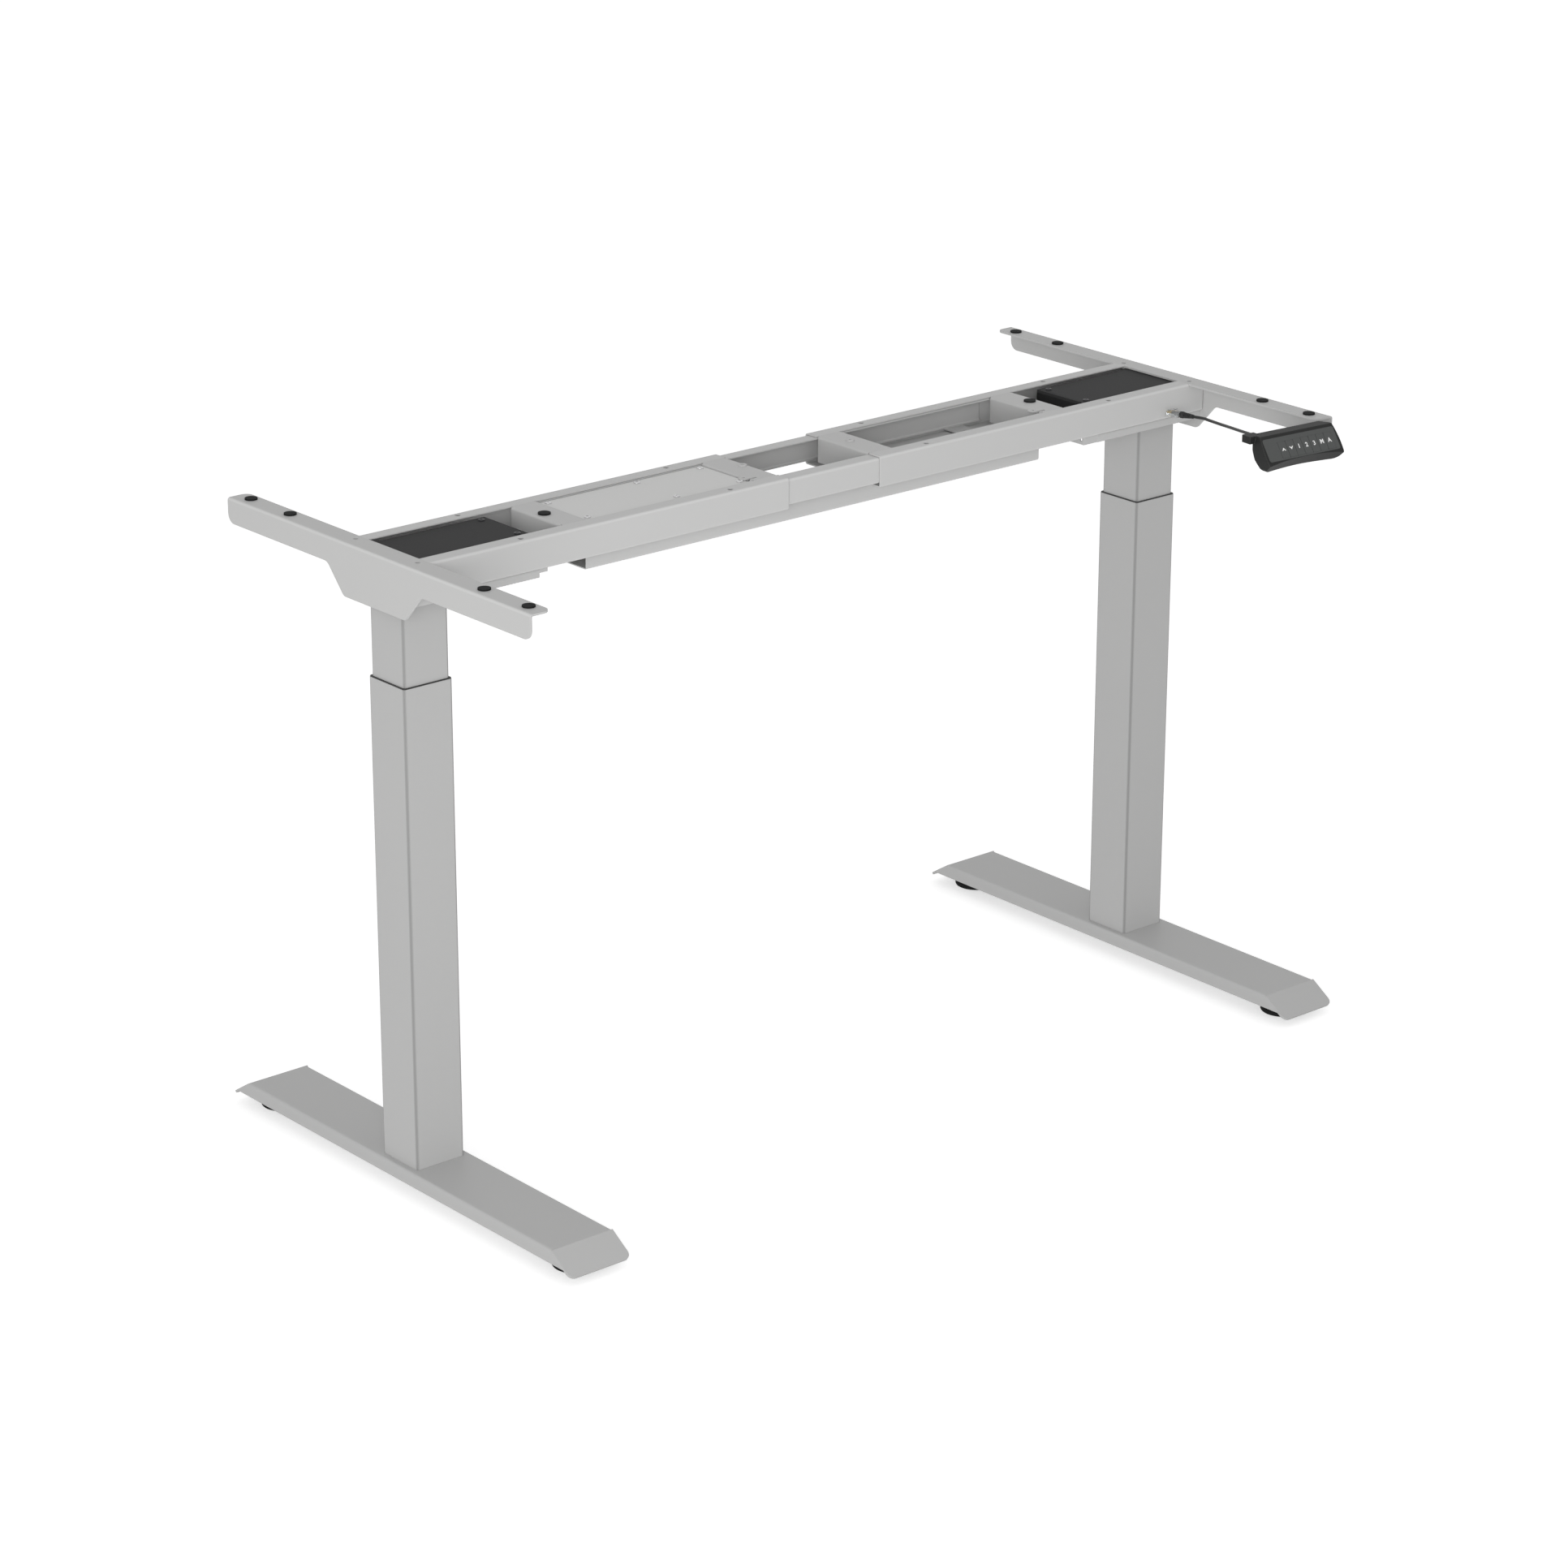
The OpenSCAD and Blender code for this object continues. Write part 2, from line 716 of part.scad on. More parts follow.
module outer_rail() {
    color("silver") translate([0, -half_beam, rail_bottom]) difference() {
        union() {
            along_x(half_gap, flange_edge)
                rail_section(rail_height, rail_flange, rail_flange, rail_sheet, rail_bend);
            along_x(flange_edge - joined, bracket_back - bracket_bend + bracket_sheet)
                rail_section(rail_height - bracket_sheet, rail_flange, rail_flange, rail_sheet, rail_bend);
        }
        for (x = [near_hole_x, far_hole_x]) translate([x, half_beam - hole_y, rail_height / 2])
            cylinder(d = rail_hole, h = rail_height);
        translate([corner_hole_x, half_beam - corner_hole_y, rail_height / 2])
            cylinder(d = corner_hole, h = rail_height);
    }
}

module inner_rail() {
    color("silver") translate([0, -inner_face, inner_bottom_face]) difference() {
        along_x(-inner_rail_length / 2, inner_rail_length / 2)
            rail_section(inner_rail_height, inner_upper_flange, inner_lower_flange, rail_sheet, rail_bend);
        for (s = [-1, 1]) side(s) translate([0, inner_face - hole_y, inner_rail_height / 2])
            linear_extrude(inner_rail_height) {
                translate([slot_start, -slot_width / 2]) square([slot_end - slot_start, slot_width]);
                for (x = [slot_start, slot_end]) translate([x, 0]) circle(d = slot_width);
            }
    }
}

module cross_plate(centre) {
    color("silver") translate([centre, 0, beam_top]) {
        along_y(lip_edge - edge_end_gap) channel_section(cross_width, cross_edge, cross_sheet, cross_bend);
        translate([cross_bend - cross_width / 2, -lip_edge, -cross_sheet])
            cube([cross_width - 2 * cross_bend, 2 * lip_edge, cross_sheet]);
        children();
    }
}

// Cross plate with a half-round holed tab and its relief slot at the left edge
module tabbed_cross_plate(centre) {
    difference() {
        cross_plate(centre) {
            translate([-cross_width / 2 + cross_bend, tab_y, -cross_sheet]) linear_extrude(cross_sheet)
                difference() {
                    translate([-cross_bend, 0]) circle(tab_radius);
                    translate([0, -tab_radius]) square(2 * tab_radius);
                }
            children();
        }
        translate([centre - cross_width / 2, 0, beam_top]) {
            translate([0, tab_y, -2 * cross_sheet]) cylinder(d = tab_hole, h = 3 * cross_sheet);
            translate([-cross_bend, tab_y - tab_radius - relief_width, -cross_bend])
                cube([relief_length + cross_bend, relief_width, 2 * cross_bend]);
        }
    }
}

module raised_boss(x) {
    translate([x, boss_y, -joined]) difference() {
        cylinder(r = boss_radius, h = boss_height + joined);
        cylinder(d = boss_hole, h = 2 * boss_height);
    }
}

module cable_tray() {
    color("silver") {
        translate([0, 0, tray_floor]) mirror([0, 0, 1]) along_x(-inner_rail_length / 2, inner_rail_length / 2)
            channel_section(tray_width, tray_height, tray_sheet, tray_bend);
        for (s = [-1, 1], t = [-1, 1]) side(s) mirror([0, t > 0 ? 1 : 0, 0]) tray_hanger();
    }
}

module tray_hanger() {
    translate([hanger_x - hanger_width / 2, -half_tray, 0]) {
        translate([0, 0, tray_floor + tray_height - joined])
            cube([hanger_width, tray_sheet, inner_bottom_face - tray_floor - tray_height + joined]);
        translate([0, half_tray - hanger_foot, inner_bottom_face - tray_sheet])
            cube([hanger_width, hanger_foot - half_tray + tray_sheet, tray_sheet]);
    }
}

// Control box

module at_box_screws(z) {
    for (share = box_screw_shares, y = [-box_screw_y, box_screw_y])
        translate([box_x + share * box_length, y, z]) children();
}

module control_box_body() {
    floor_z = lid_top - box_sheet - box_height;
    color([0.6, 0.6, 0.6]) difference() {
        union() {
            translate([box_x - box_length / 2, -box_width / 2, floor_z]) difference() {
                cube([box_length, box_width, box_height]);
                translate([box_sheet, box_sheet, box_sheet])
                    cube([box_length - 2 * box_sheet, box_width - 2 * box_sheet, box_height]);
            }
            at_box_screws(floor_z) cylinder(d = post_width, h = box_height);
            for (x = [-1, 1], y = [-1, 1]) translate([box_x + x * standoff_share * board_length,
                y * standoff_share * board_width, floor_z + box_sheet - joined])
                cylinder(d = standoff_width, h = standoff_height + joined);
        }
        at_box_screws(floor_z + box_height / 2) cylinder(d = post_hole, h = box_height);
    }
}

module control_box_lid() {
    color([0.76, 0.76, 0.75]) difference() {
        translate([box_x - box_length / 2, -box_width / 2 - lid_overlap, lid_top - box_sheet])
            cube([box_length - lid_end_gap, box_width + 2 * lid_overlap, box_sheet]);
        at_box_screws(lid_top - 2 * box_sheet) cylinder(d = post_hole, h = 3 * box_sheet);
    }
}

module control_box_screws() {
    color([0.5, 0.5, 0.5]) at_box_screws(lid_top) screw();
}

module control_board() {
    board_z = lid_top - box_height + standoff_height;
    color([0.1, 0.35, 0.2]) translate([box_x, 0, board_z]) {
        translate([-board_length / 2, -board_width / 2, 0]) cube([board_length, board_width, board_sheet]);
        for (x = relay_xs) translate([x, 0, board_sheet]) cube(relay_size);
        for (x = capacitor_xs) translate([x, 0, board_sheet])
            cylinder(d = capacitor_width, h = capacitor_height);
        for (x = socket_xs) translate([x, -board_width / 2, board_sheet]) cube(socket_size);
    }
}

// Handset

module handset_frame() {
    translate([handset_x, -handset_y, handset_z + handset_top]) rotate([0, 0, -handset_turn]) children();
}

module on_face() {
    translate([0, face_centre[0], face_centre[1]]) rotate([face_tilt, 0, 0]) children();
}

module plate(width, height, corner, bottom, top) {
    translate([0, 0, bottom]) linear_extrude(top - bottom) rounded_square(width, height, corner);
}

// Seen from above, narrower at the rear edge's right end
module case_plan() {
    half = handset_length / 2;
    polygon(rounded([[-half, 0], [rear_half, 0], [half, -shoulder_depth], [half, -half], [-half, -half]],
        [plan_corner, plan_corner, plan_corner, 0, 0]));
}

// Seen from the front, with bulging ends
module case_elevation() {
    intersection() {
        polygon(rounded([[-handset_length / 2, handset_length], [handset_length / 2, handset_length],
            [handset_length / 2, case_profile[5][1]], [-handset_length / 2, case_profile[5][1]]],
            [0, 0, foot_corner, foot_corner]));
        translate([end_bulge_radius - handset_length / 2, case_profile[5][1] / 2])
            circle(end_bulge_radius, $fn = 180);
        translate([handset_length / 2 - end_bulge_radius, case_profile[5][1] / 2])
            circle(end_bulge_radius, $fn = 180);
    }
}

module handset_case() {
    arch_radius = (handset_length * handset_length / 4 + arch_rise * arch_rise) / (2 * arch_rise);
    color([0.2, 0.21, 0.21]) handset_frame() difference() {
        union() {
            intersection() {
                along_x(-handset_length / 2, handset_length / 2) polygon(rounded(case_profile, case_rounds));
                translate([0, 0, -handset_length]) linear_extrude(2 * handset_length) case_plan();
                along_y(handset_length) case_elevation();
            }
            translate([-handset_length / 2 - outlet_step, outlet_rear - outlet_depth, -outlet_height])
                cube([outlet_width, outlet_depth, outlet_height]);
        }
        translate([0, case_profile[3][0], case_profile[3][1]]) rotate([chin_tilt, 0, 0])
            translate([0, arch_rise - arch_radius, 0])
                cylinder(r = arch_radius, h = handset_length, center = true, $fn = 360);
        on_face() {
            plate(panel_width, panel_height, panel_corner, -panel_depth, panel_depth);
            plate(cavity_length, cavity_height, joined, -panel_depth - board_thickness, -panel_depth + joined);
            plate(cavity_length - 2 * ledge, cavity_height - 2 * ledge, joined, -cavity_depth, -panel_depth);
        }
        translate([ear_hole_x, ear_hole_y, -2 * outlet_height]) cylinder(d = ear_hole, h = 3 * outlet_height);
    }
}

module handset_bezel() {
    color([0.35, 0.36, 0.355]) handset_frame() on_face() difference() {
        plate(panel_width, panel_height, panel_corner, -panel_depth, 0);
        translate([keys_left, key_centre - key_height / 2, -2 * panel_depth])
            cube([keys_width, key_height, 3 * panel_depth]);
    }
}

module handset_board() {
    color([0.1, 0.35, 0.2]) handset_frame() on_face() {
        plate(cavity_length, cavity_height, joined, -panel_depth - board_thickness, -panel_depth);
        for (i = [0:len(key_names) - 1])
            translate([keys_left + (i + 0.5) * key_pitch, key_centre, -panel_depth - joined])
                cylinder(d = dome_width, h = dome_height + joined);
    }
}

module key(i) {
    color([0.35, 0.36, 0.355]) handset_frame() on_face()
        translate([keys_left + (i + 0.5) * key_pitch, key_centre, 0])
            plate(key_pitch - key_gap, key_height - 2 * key_end_gap, key_corner, -key_depth, key_rise);
}

// Lead

module plug_frame() {
    translate([plug_x, -half_beam - plug_nose_gap, plug_z]) rotate([90 - plug_tilt, 0, plug_drift]) children();
}

module lead_plug() {
    color([0.85, 0.87, 0.88]) plug_frame() {
        translate([-plug_width / 2, -plug_depth / 2, 0]) cube([plug_width, plug_depth, plug_length]);
        translate([-latch_width / 2, plug_depth / 2 - joined, 0]) rotate([-atan2(latch_rise, latch_length), 0, 0])
            cube([latch_width, latch_sheet, latch_length]);
    }
}

module lead_boot() {
    color([0.13, 0.13, 0.13]) plug_frame() translate([0, 0, plug_length])
        cylinder(d1 = boot_start_width, d2 = boot_end_width, h = boot_length);
}

// Round tube through a list of points
module sweep(points, width, sides) {
    last = len(points) - 1;
    function heading(i) = unit(points[min(i + 1, last)] - points[max(i - 1, 0)]);
    function across(i) = unit(cross([0, 0, 1], heading(i)));
    rings = [for (i = [0:last]) let (a = across(i), b = cross(heading(i), a)) [for (k = [0:sides - 1])
        points[i] + width / 2 * (a * cos(360 * k / sides) + b * sin(360 * k / sides))]];
    polyhedron([for (ring = rings) each ring], concat(
        [[for (k = [0:sides - 1]) k]],
        [for (i = [0:last - 1], k = [0:sides - 1]) [i * sides + k, (i + 1) * sides + k,
            (i + 1) * sides + (k + 1) % sides, i * sides + (k + 1) % sides]],
        [[for (k = [0:sides - 1]) last * sides + sides - 1 - k]]));
}

module handset_lead() {
    color([0.13, 0.13, 0.13]) sweep(lead_points, lead_width, 8);
}

// Nodes

module glide_at(s, y) {
    side(s) glide(y);
}

side(-1) foot();  // left_foot
side(-1) outer_tube();  // left_outer_tube
side(-1) guide_collar();  // left_guide_collar
side(-1) push_tube();  // left_push_tube
glide_at(-1, -glide_y);  // left_front_glide
glide_at(-1, glide_y);  // left_rear_glide
side(-1) inner_tube();  // left_inner_tube
side(-1) guide_shoe();  // left_guide_shoe
rotate([0, 0, 180]) mount_channel();  // left_mount_channel
side(-1) side_bracket();  // left_side_bracket
side(-1) outer_rail();  // left_front_outer_rail
side(-1) mirror([0, 1, 0]) outer_rail();  // left_rear_outer_rail
cross_plate(-motor_cross_x);  // left_motor_cross_plate
tabbed_cross_plate(-centre_cross_x)  // left_centre_cross_plate
    raised_boss(left_boss_x + centre_cross_x);
side(-1) motor_housing();  // left_motor_housing
rotate([0, 0, 180]) gearmotor();  // left_gearmotor
side(-1) rubber_pads();  // left_rubber_pads
side(-1) housing_screws();  // left_housing_screws
side(-1) lifting_screw();  // left_lifting_screw
control_box_body();
control_box_lid();
control_box_screws();
control_board();
inner_rail();  // front_inner_rail
mirror([0, 1, 0]) inner_rail();  // rear_inner_rail
cable_tray();
foot();  // right_foot
outer_tube();  // right_outer_tube
guide_collar();  // right_guide_collar
push_tube();  // right_push_tube
glide_at(1, -glide_y);  // right_front_glide
glide_at(1, glide_y);  // right_rear_glide
inner_tube();  // right_inner_tube
guide_shoe();  // right_guide_shoe
mount_channel();  // right_mount_channel
side_bracket();  // right_side_bracket
outer_rail();  // right_front_outer_rail
mirror([0, 1, 0]) outer_rail();  // right_rear_outer_rail
tabbed_cross_plate(motor_cross_x);  // right_motor_cross_plate
cross_plate(centre_cross_x)  // right_centre_cross_plate
    raised_boss(right_boss_x - centre_cross_x);
motor_housing();  // right_motor_housing
gearmotor();  // right_gearmotor
rubber_pads();  // right_rubber_pads
housing_screws();  // right_housing_screws
lifting_screw();  // right_lifting_screw
handset_case();
handset_bezel();
handset_board();
key(0);  // key_up
key(1);  // key_down
key(2);  // key_one
key(3);  // key_two
key(4);  // key_three
key(5);  // key_memory
key(6);  // key_auto
handset_lead();
lead_boot();
lead_plug();
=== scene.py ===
# %% [markdown]
# # Standing desk frame
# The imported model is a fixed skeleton: every piece of sheet metal, tube and rail is already there at its
# real size. This lesson dresses it: a finish for each part, the small hardware that is too fine for the
# skeleton, the handset's lead and its plug, the printed signs, and a studio around it.

# %% Load the frame
import math

import bmesh
import bpy
from mathutils import Matrix, Vector


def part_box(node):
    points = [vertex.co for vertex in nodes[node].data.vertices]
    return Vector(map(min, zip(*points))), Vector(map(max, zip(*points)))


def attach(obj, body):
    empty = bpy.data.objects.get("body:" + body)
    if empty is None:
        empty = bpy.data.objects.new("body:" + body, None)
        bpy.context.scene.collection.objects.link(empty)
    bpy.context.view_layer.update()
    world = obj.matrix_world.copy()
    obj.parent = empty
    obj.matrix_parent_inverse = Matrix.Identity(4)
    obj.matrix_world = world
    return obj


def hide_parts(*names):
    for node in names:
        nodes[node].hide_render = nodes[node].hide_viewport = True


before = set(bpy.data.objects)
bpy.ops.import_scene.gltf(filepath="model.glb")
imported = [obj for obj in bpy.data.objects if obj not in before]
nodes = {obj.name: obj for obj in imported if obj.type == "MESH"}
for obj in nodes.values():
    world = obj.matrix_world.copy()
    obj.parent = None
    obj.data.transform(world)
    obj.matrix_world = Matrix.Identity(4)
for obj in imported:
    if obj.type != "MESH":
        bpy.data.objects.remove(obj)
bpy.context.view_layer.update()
MM = 0.001
print("pieces in the skeleton:", len(nodes))

# %% [markdown]
# ## The camera
# A product picture is often taken from far away with a long lens, so that the columns look parallel. The
# lens and the place below were solved from the object's own straight edges, because a camera guessed by
# eye never lets the picture be laid over the photograph. It looks down by 20 degrees from the left.

# %% Camera
LENS, SENSOR, FAR_CLIP = 104.064, 36, 100
EYE = Vector((-3.5042, -4.0996, 2.3417))
TURN, TILT, ROLL = math.radians(-40.356), math.radians(90 - 20.053), math.radians(0.116)
camera_data = bpy.data.cameras.new("camera")
camera_data.lens = LENS
camera_data.sensor_width = SENSOR
camera_data.clip_end = FAR_CLIP
camera = bpy.data.objects.new("camera", camera_data)
camera.matrix_world = (Matrix.Translation(EYE) @ Matrix.Rotation(TURN, 4, "Z")
                       @ Matrix.Rotation(TILT, 4, "X") @ Matrix.Rotation(ROLL, 4, "Z"))
bpy.context.scene.collection.objects.link(camera)
bpy.context.scene.camera = camera
print("camera distance from the middle of the floor, m:", round(EYE.length, 2))

# %% [markdown]
# ## Where the handset is
# The handset hangs a little turned, and its key face leans back. Two matrices hold that: one for the
# handset, and one for the plane of the keys. Everything printed on the keys is built flat and then sent
# through the second matrix, which is much easier than working out sloping coordinates.

# %% Handset and key face placing
HANDSET_AT, HANDSET_TURN = (0.553, -0.302, 0.8067), math.radians(-5)
FACE_TOP, FACE_BOTTOM = Vector((0, -20, -3)) * MM, Vector((0, -38.6, -28.5)) * MM
handset_place = Matrix.Translation(HANDSET_AT) @ Matrix.Rotation(HANDSET_TURN, 4, "Z")
face_run = FACE_TOP - FACE_BOTTOM
face_lean = math.atan2(face_run.z, face_run.y)
face_place = (handset_place @ Matrix.Translation((FACE_TOP + FACE_BOTTOM) / 2)
              @ Matrix.Rotation(face_lean, 4, "X"))
print("key face leans back, degrees:", round(90 - math.degrees(face_lean), 1))

# %% [markdown]
# ## The handset's lead
# The lead runs almost straight from the handset's ear to a plug at the front rail. It could be a row of
# cylinders, but their joints would show, so it is one curve with a round section. The route's points, in
# millimetres, are the skeleton's own, and a spline is laid through them and sampled evenly.

# %% Lead
LEAD_ROUTE = [(500.3, -293.7, 804), (504.9, -283.8, 802.5), (511.5, -269.7, 800.2), (520.9, -249.5, 796.9),
              (530.4, -229.4, 793.7), (539.9, -209.2, 790.4), (549.3, -189, 787.1), (559.8, -166.8, 783.6),
              (567.5, -150.7, 781), (573, -139.6, 779.2), (576.6, -129.5, 777.6), (577.6, -120.4, 776.5),
              (577.4, -113.8, 776)]
LEAD_DIAMETER, LEAD_ROUNDNESS, STEPS_PER_SPAN = 0.004, 5, 3


def smooth_route(points, per_span):
    """Points on a curve that passes through all of the route's points."""
    pts = [Vector(p) * MM for p in points]
    ends = [2 * pts[0] - pts[1], *pts, 2 * pts[-1] - pts[-2]]
    out = []
    for i in range(1, len(ends) - 2):
        a, b, c, d = ends[i - 1:i + 3]
        for k in range(per_span):
            t = k / per_span
            out.append(0.5 * (2 * b + (c - a) * t + (2 * a - 5 * b + 4 * c - d) * t * t
                              + (3 * b - a - 3 * c + d) * t ** 3))
    return [*out, pts[-1]]


lead_line = smooth_route(LEAD_ROUTE, STEPS_PER_SPAN)
lead_curve = bpy.data.curves.new("lead", "CURVE")
lead_curve.dimensions = "3D"
lead_curve.bevel_depth = LEAD_DIAMETER / 2
lead_curve.bevel_resolution = LEAD_ROUNDNESS
spline = lead_curve.splines.new("POLY")
spline.points.add(len(lead_line) - 1)
for point, place in zip(spline.points, lead_line):
    point.co = (*place, 1)
lead = bpy.data.objects.new("lead", lead_curve)
bpy.context.scene.collection.objects.link(lead)

# %% [markdown]
# ## Building blocks for small parts
# Screws and the plug's boot are turned shapes, so one helper spins a profile around an axis. Another
# makes a box with soft edges, for the plug. A third shades faces smoothly, but keeps sharp edges sharp.

# %% Helpers for meshes
ON_AXIS = 1e-7


def add_object(name, data):
    made = bpy.data.objects.new(name, data)
    bpy.context.scene.collection.objects.link(made)
    return made


def finish_mesh(bm, name, smooth_angle=40):
    """Turns a bmesh into a mesh; edges under the angle, in degrees, are shaded smooth."""
    bmesh.ops.recalc_face_normals(bm, faces=bm.faces)
    mesh = bpy.data.meshes.new(name)
    for face in bm.faces:
        face.smooth = True
    for edge in bm.edges:
        edge.smooth = edge.calc_face_angle(0) < math.radians(smooth_angle)
    bm.to_mesh(mesh)
    bm.free()
    return mesh


def spin_profile(bm, profile, place, steps=40):
    """Turns a profile of (radius, height) pairs, in metres, around the place's own Z axis."""
    rings = []
    for radius, height in profile:
        if radius < ON_AXIS:
            rings.append([bm.verts.new(place @ Vector((0, 0, height)))])
            continue
        rings.append([bm.verts.new(place @ Vector((radius * math.cos(2 * math.pi * k / steps),
                                                   radius * math.sin(2 * math.pi * k / steps), height)))
                      for k in range(steps)])
    for low, high in zip(rings, rings[1:]):
        for k in range(steps):
            n = (k + 1) % steps
            corners = [low[k % len(low)], low[n % len(low)], high[n % len(high)], high[k % len(high)]]
            unique = list(dict.fromkeys(corners))
            if len(unique) > 2:
                bm.faces.new(unique)


def soft_box(bm, size, place, edge, segments=3):
    """A box with rounded edges, its middle at the place's origin."""
    made = bmesh.ops.create_cube(bm, size=1, matrix=place @ Matrix.Diagonal((*size, 1)))
    edges = list({e for v in made["verts"] for e in v.link_edges})
    bmesh.ops.bevel(bm, geom=edges, offset=edge, segments=segments, profile=0.5, affect="EDGES")


print("helpers ready")

# %% [markdown]
# ## A pan-head screw
# Six light screws hold the control box's lid and two black ones each motor housing. A pan head is a
# turned dome with a cross driven into it. The cross is cut with a boolean, because its arms meet the dome
# in curves that would be tedious to write by hand. Numbers of the dome and the cross are shares of the
# head's radius and height.

# %% Pan-head screw
HEAD_RADIUS, HEAD_HEIGHT = 0.00425, 0.0016
SHANK_RADIUS, SHANK_LENGTH, POINT_START, POINT_WIDTH = 0.002, 0.007, 0.0062, 0.7
DOME = [(0.97, 0), (1, 0.25), (0.97, 0.55), (0.84, 0.86), (0.6, 0.98), (0, 1)]
CROSS_LENGTH, CROSS_WIDTH, CROSS_DEPTH = 1.15, 0.24, 1.1
SCREW_SMOOTH = 50


def screw_mesh():
    """One screw; the underside of its head lies at height 0."""
    r, h = HEAD_RADIUS, HEAD_HEIGHT
    shank = [(0, -SHANK_LENGTH), (SHANK_RADIUS * POINT_WIDTH, -SHANK_LENGTH), (SHANK_RADIUS, -POINT_START),
             (SHANK_RADIUS, 0)]
    bm = bmesh.new()
    spin_profile(bm, shank + [(r * across, h * up) for across, up in DOME], Matrix.Identity(4))
    body = add_object("screw_body", finish_mesh(bm, "screw_body", SCREW_SMOOTH))
    bm = bmesh.new()
    arm = Matrix.Diagonal((r * CROSS_LENGTH, r * CROSS_WIDTH, h * CROSS_DEPTH, 1))
    for turn in (0, math.pi / 2):
        place = Matrix.Translation((0, 0, h)) @ Matrix.Rotation(turn, 4, "Z")
        bmesh.ops.create_cube(bm, size=1, matrix=place @ arm)
    cutter = add_object("screw_cutter", finish_mesh(bm, "screw_cutter"))
    cut = body.modifiers.new("cross", "BOOLEAN")
    cut.object, cut.operation, cut.solver = cutter, "DIFFERENCE", "EXACT"
    cut.use_self = True
    bpy.context.view_layer.update()
    mesh = bpy.data.meshes.new_from_object(body.evaluated_get(bpy.context.evaluated_depsgraph_get()))
    for made in (body, cutter):
        bpy.data.objects.remove(made)
    return mesh


SCREW = screw_mesh()
print("screw:", len(SCREW.vertices), "points")

# %% [markdown]
# ## The screws in their places
# The skeleton already has plain screws at the right places, so the flat tops of their heads are looked up
# in its mesh instead of being measured again. Copies of the one screw are joined into a single piece for
# each group, each turned a little differently, because real screws never line up.

# %% Groups of screws
FLAT, HEAD_REACH = 1e-5, 2.5
LID_TURNS, COVER_TURNS = [0.3, 1.1, 0.7, 0.2, 1.3, 0.9], [0.5, 1.2]


def screw_group(name, node, body, heads_at, turns):
    """Copies of the screw, joined into the piece that stands for a node of plain screws."""
    bm = bmesh.new()
    for place, turn in zip(heads_at, turns):
        before = len(bm.verts)
        bm.from_mesh(SCREW)
        bm.verts.ensure_lookup_table()
        new = bm.verts[before:]
        bmesh.ops.transform(bm, matrix=Matrix.Translation(place) @ Matrix.Rotation(turn, 4, "Z"), verts=new)
    made = add_object(name, finish_mesh(bm, name, SCREW_SMOOTH))
    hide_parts(node)
    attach(made, body)
    return made


def heads_of(node):
    """Centres of the screw heads of a node, at the underside of the heads."""
    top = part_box(node)[1].z
    rims = [v.co for v in nodes[node].data.vertices if abs(v.co.z - top) < FLAT]
    found = []
    for rim in rims:
        near = [other for other in rims if (other - rim).length < HEAD_REACH * HEAD_RADIUS]
        middle = sum(near, Vector()) / len(near)
        if all((middle - f).length > HEAD_RADIUS for f in found):
            found.append(middle)
    return [Vector((f.x, f.y, top - HEAD_HEIGHT)) for f in found]


lid_heads = heads_of("control_box_screws")
screw_pieces = [screw_group("lid_screws", "control_box_screws", "left_carriage", lid_heads, LID_TURNS)]
for side in ("left", "right"):
    screw_pieces.append(screw_group(side + "_cover_screws", side + "_housing_screws", side + "_carriage",
                                    heads_of(side + "_housing_screws"), COVER_TURNS))
print("lid screws:", len(lid_heads), "at", [tuple(round(c, 4) for c in h) for h in lid_heads][:2])

# %% [markdown]
# ## The clear plug
# The lead ends in a clear moulded plug. It is a block with soft edges and a springy latch that rises on
# top, and gilt blades at the nose. The lead's flat end shows dark through the clear plastic, so it is
# built too, as its own piece. All of it is built upright, with the nose at the origin.

# %% Clear plug
PLUG_WIDTH, PLUG_DEPTH, PLUG_LENGTH, PLUG_EDGE = 0.0117, 0.0065, 0.021, 0.0005
LATCH_WIDTH, LATCH_LENGTH, LATCH_SHEET, LATCH_RISE, LATCH_EDGE = 0.006, 0.013, 0.001, 0.0025, 0.0002
WIRES = 8
BLADE_SIZE, BLADE_PITCH, BLADE_AT, BLADE_EDGE = (0.00035, 0.0022, 0.0056), 0.00102, (0.0017, 0.0034), 0.0001
WIRE_SIZE, WIRE_PITCH, WIRE_AT, WIRE_EDGE = (0.0006, 0.0007, 0.0062), 0.00085, (0.0004, 0.0091), 0.0002
JACKET_SIZE, JACKET_AT, JACKET_EDGE = (0.0062, 0.0028, 0.0085), 0.0162, 0.0009


def plug_body():
    bm = bmesh.new()
    middle = Matrix.Translation((0, 0, PLUG_LENGTH / 2))
    soft_box(bm, (PLUG_WIDTH, PLUG_DEPTH, PLUG_LENGTH), middle, PLUG_EDGE)
    lean = Matrix.Rotation(-math.atan2(LATCH_RISE, LATCH_LENGTH), 4, "X")
    soft_box(bm, (LATCH_WIDTH, LATCH_SHEET, LATCH_LENGTH), Matrix.Translation((0, PLUG_DEPTH / 2, 0)) @ lean
             @ Matrix.Translation((0, LATCH_SHEET / 2, LATCH_LENGTH / 2)), LATCH_EDGE)
    return add_object("plug_body", finish_mesh(bm, "plug_body"))


def wire_row(bm, size, pitch, depth_and_height, edge):
    """One small box for each of the lead's wires, side by side across the plug."""
    for k in range(WIRES):
        across = (k - (WIRES - 1) / 2) * pitch
        soft_box(bm, size, Matrix.Translation((across, *depth_and_height)), edge, segments=1)


def plug_blades():
    bm = bmesh.new()
    wire_row(bm, BLADE_SIZE, BLADE_PITCH, BLADE_AT, BLADE_EDGE)
    return add_object("plug_blades", finish_mesh(bm, "plug_blades"))


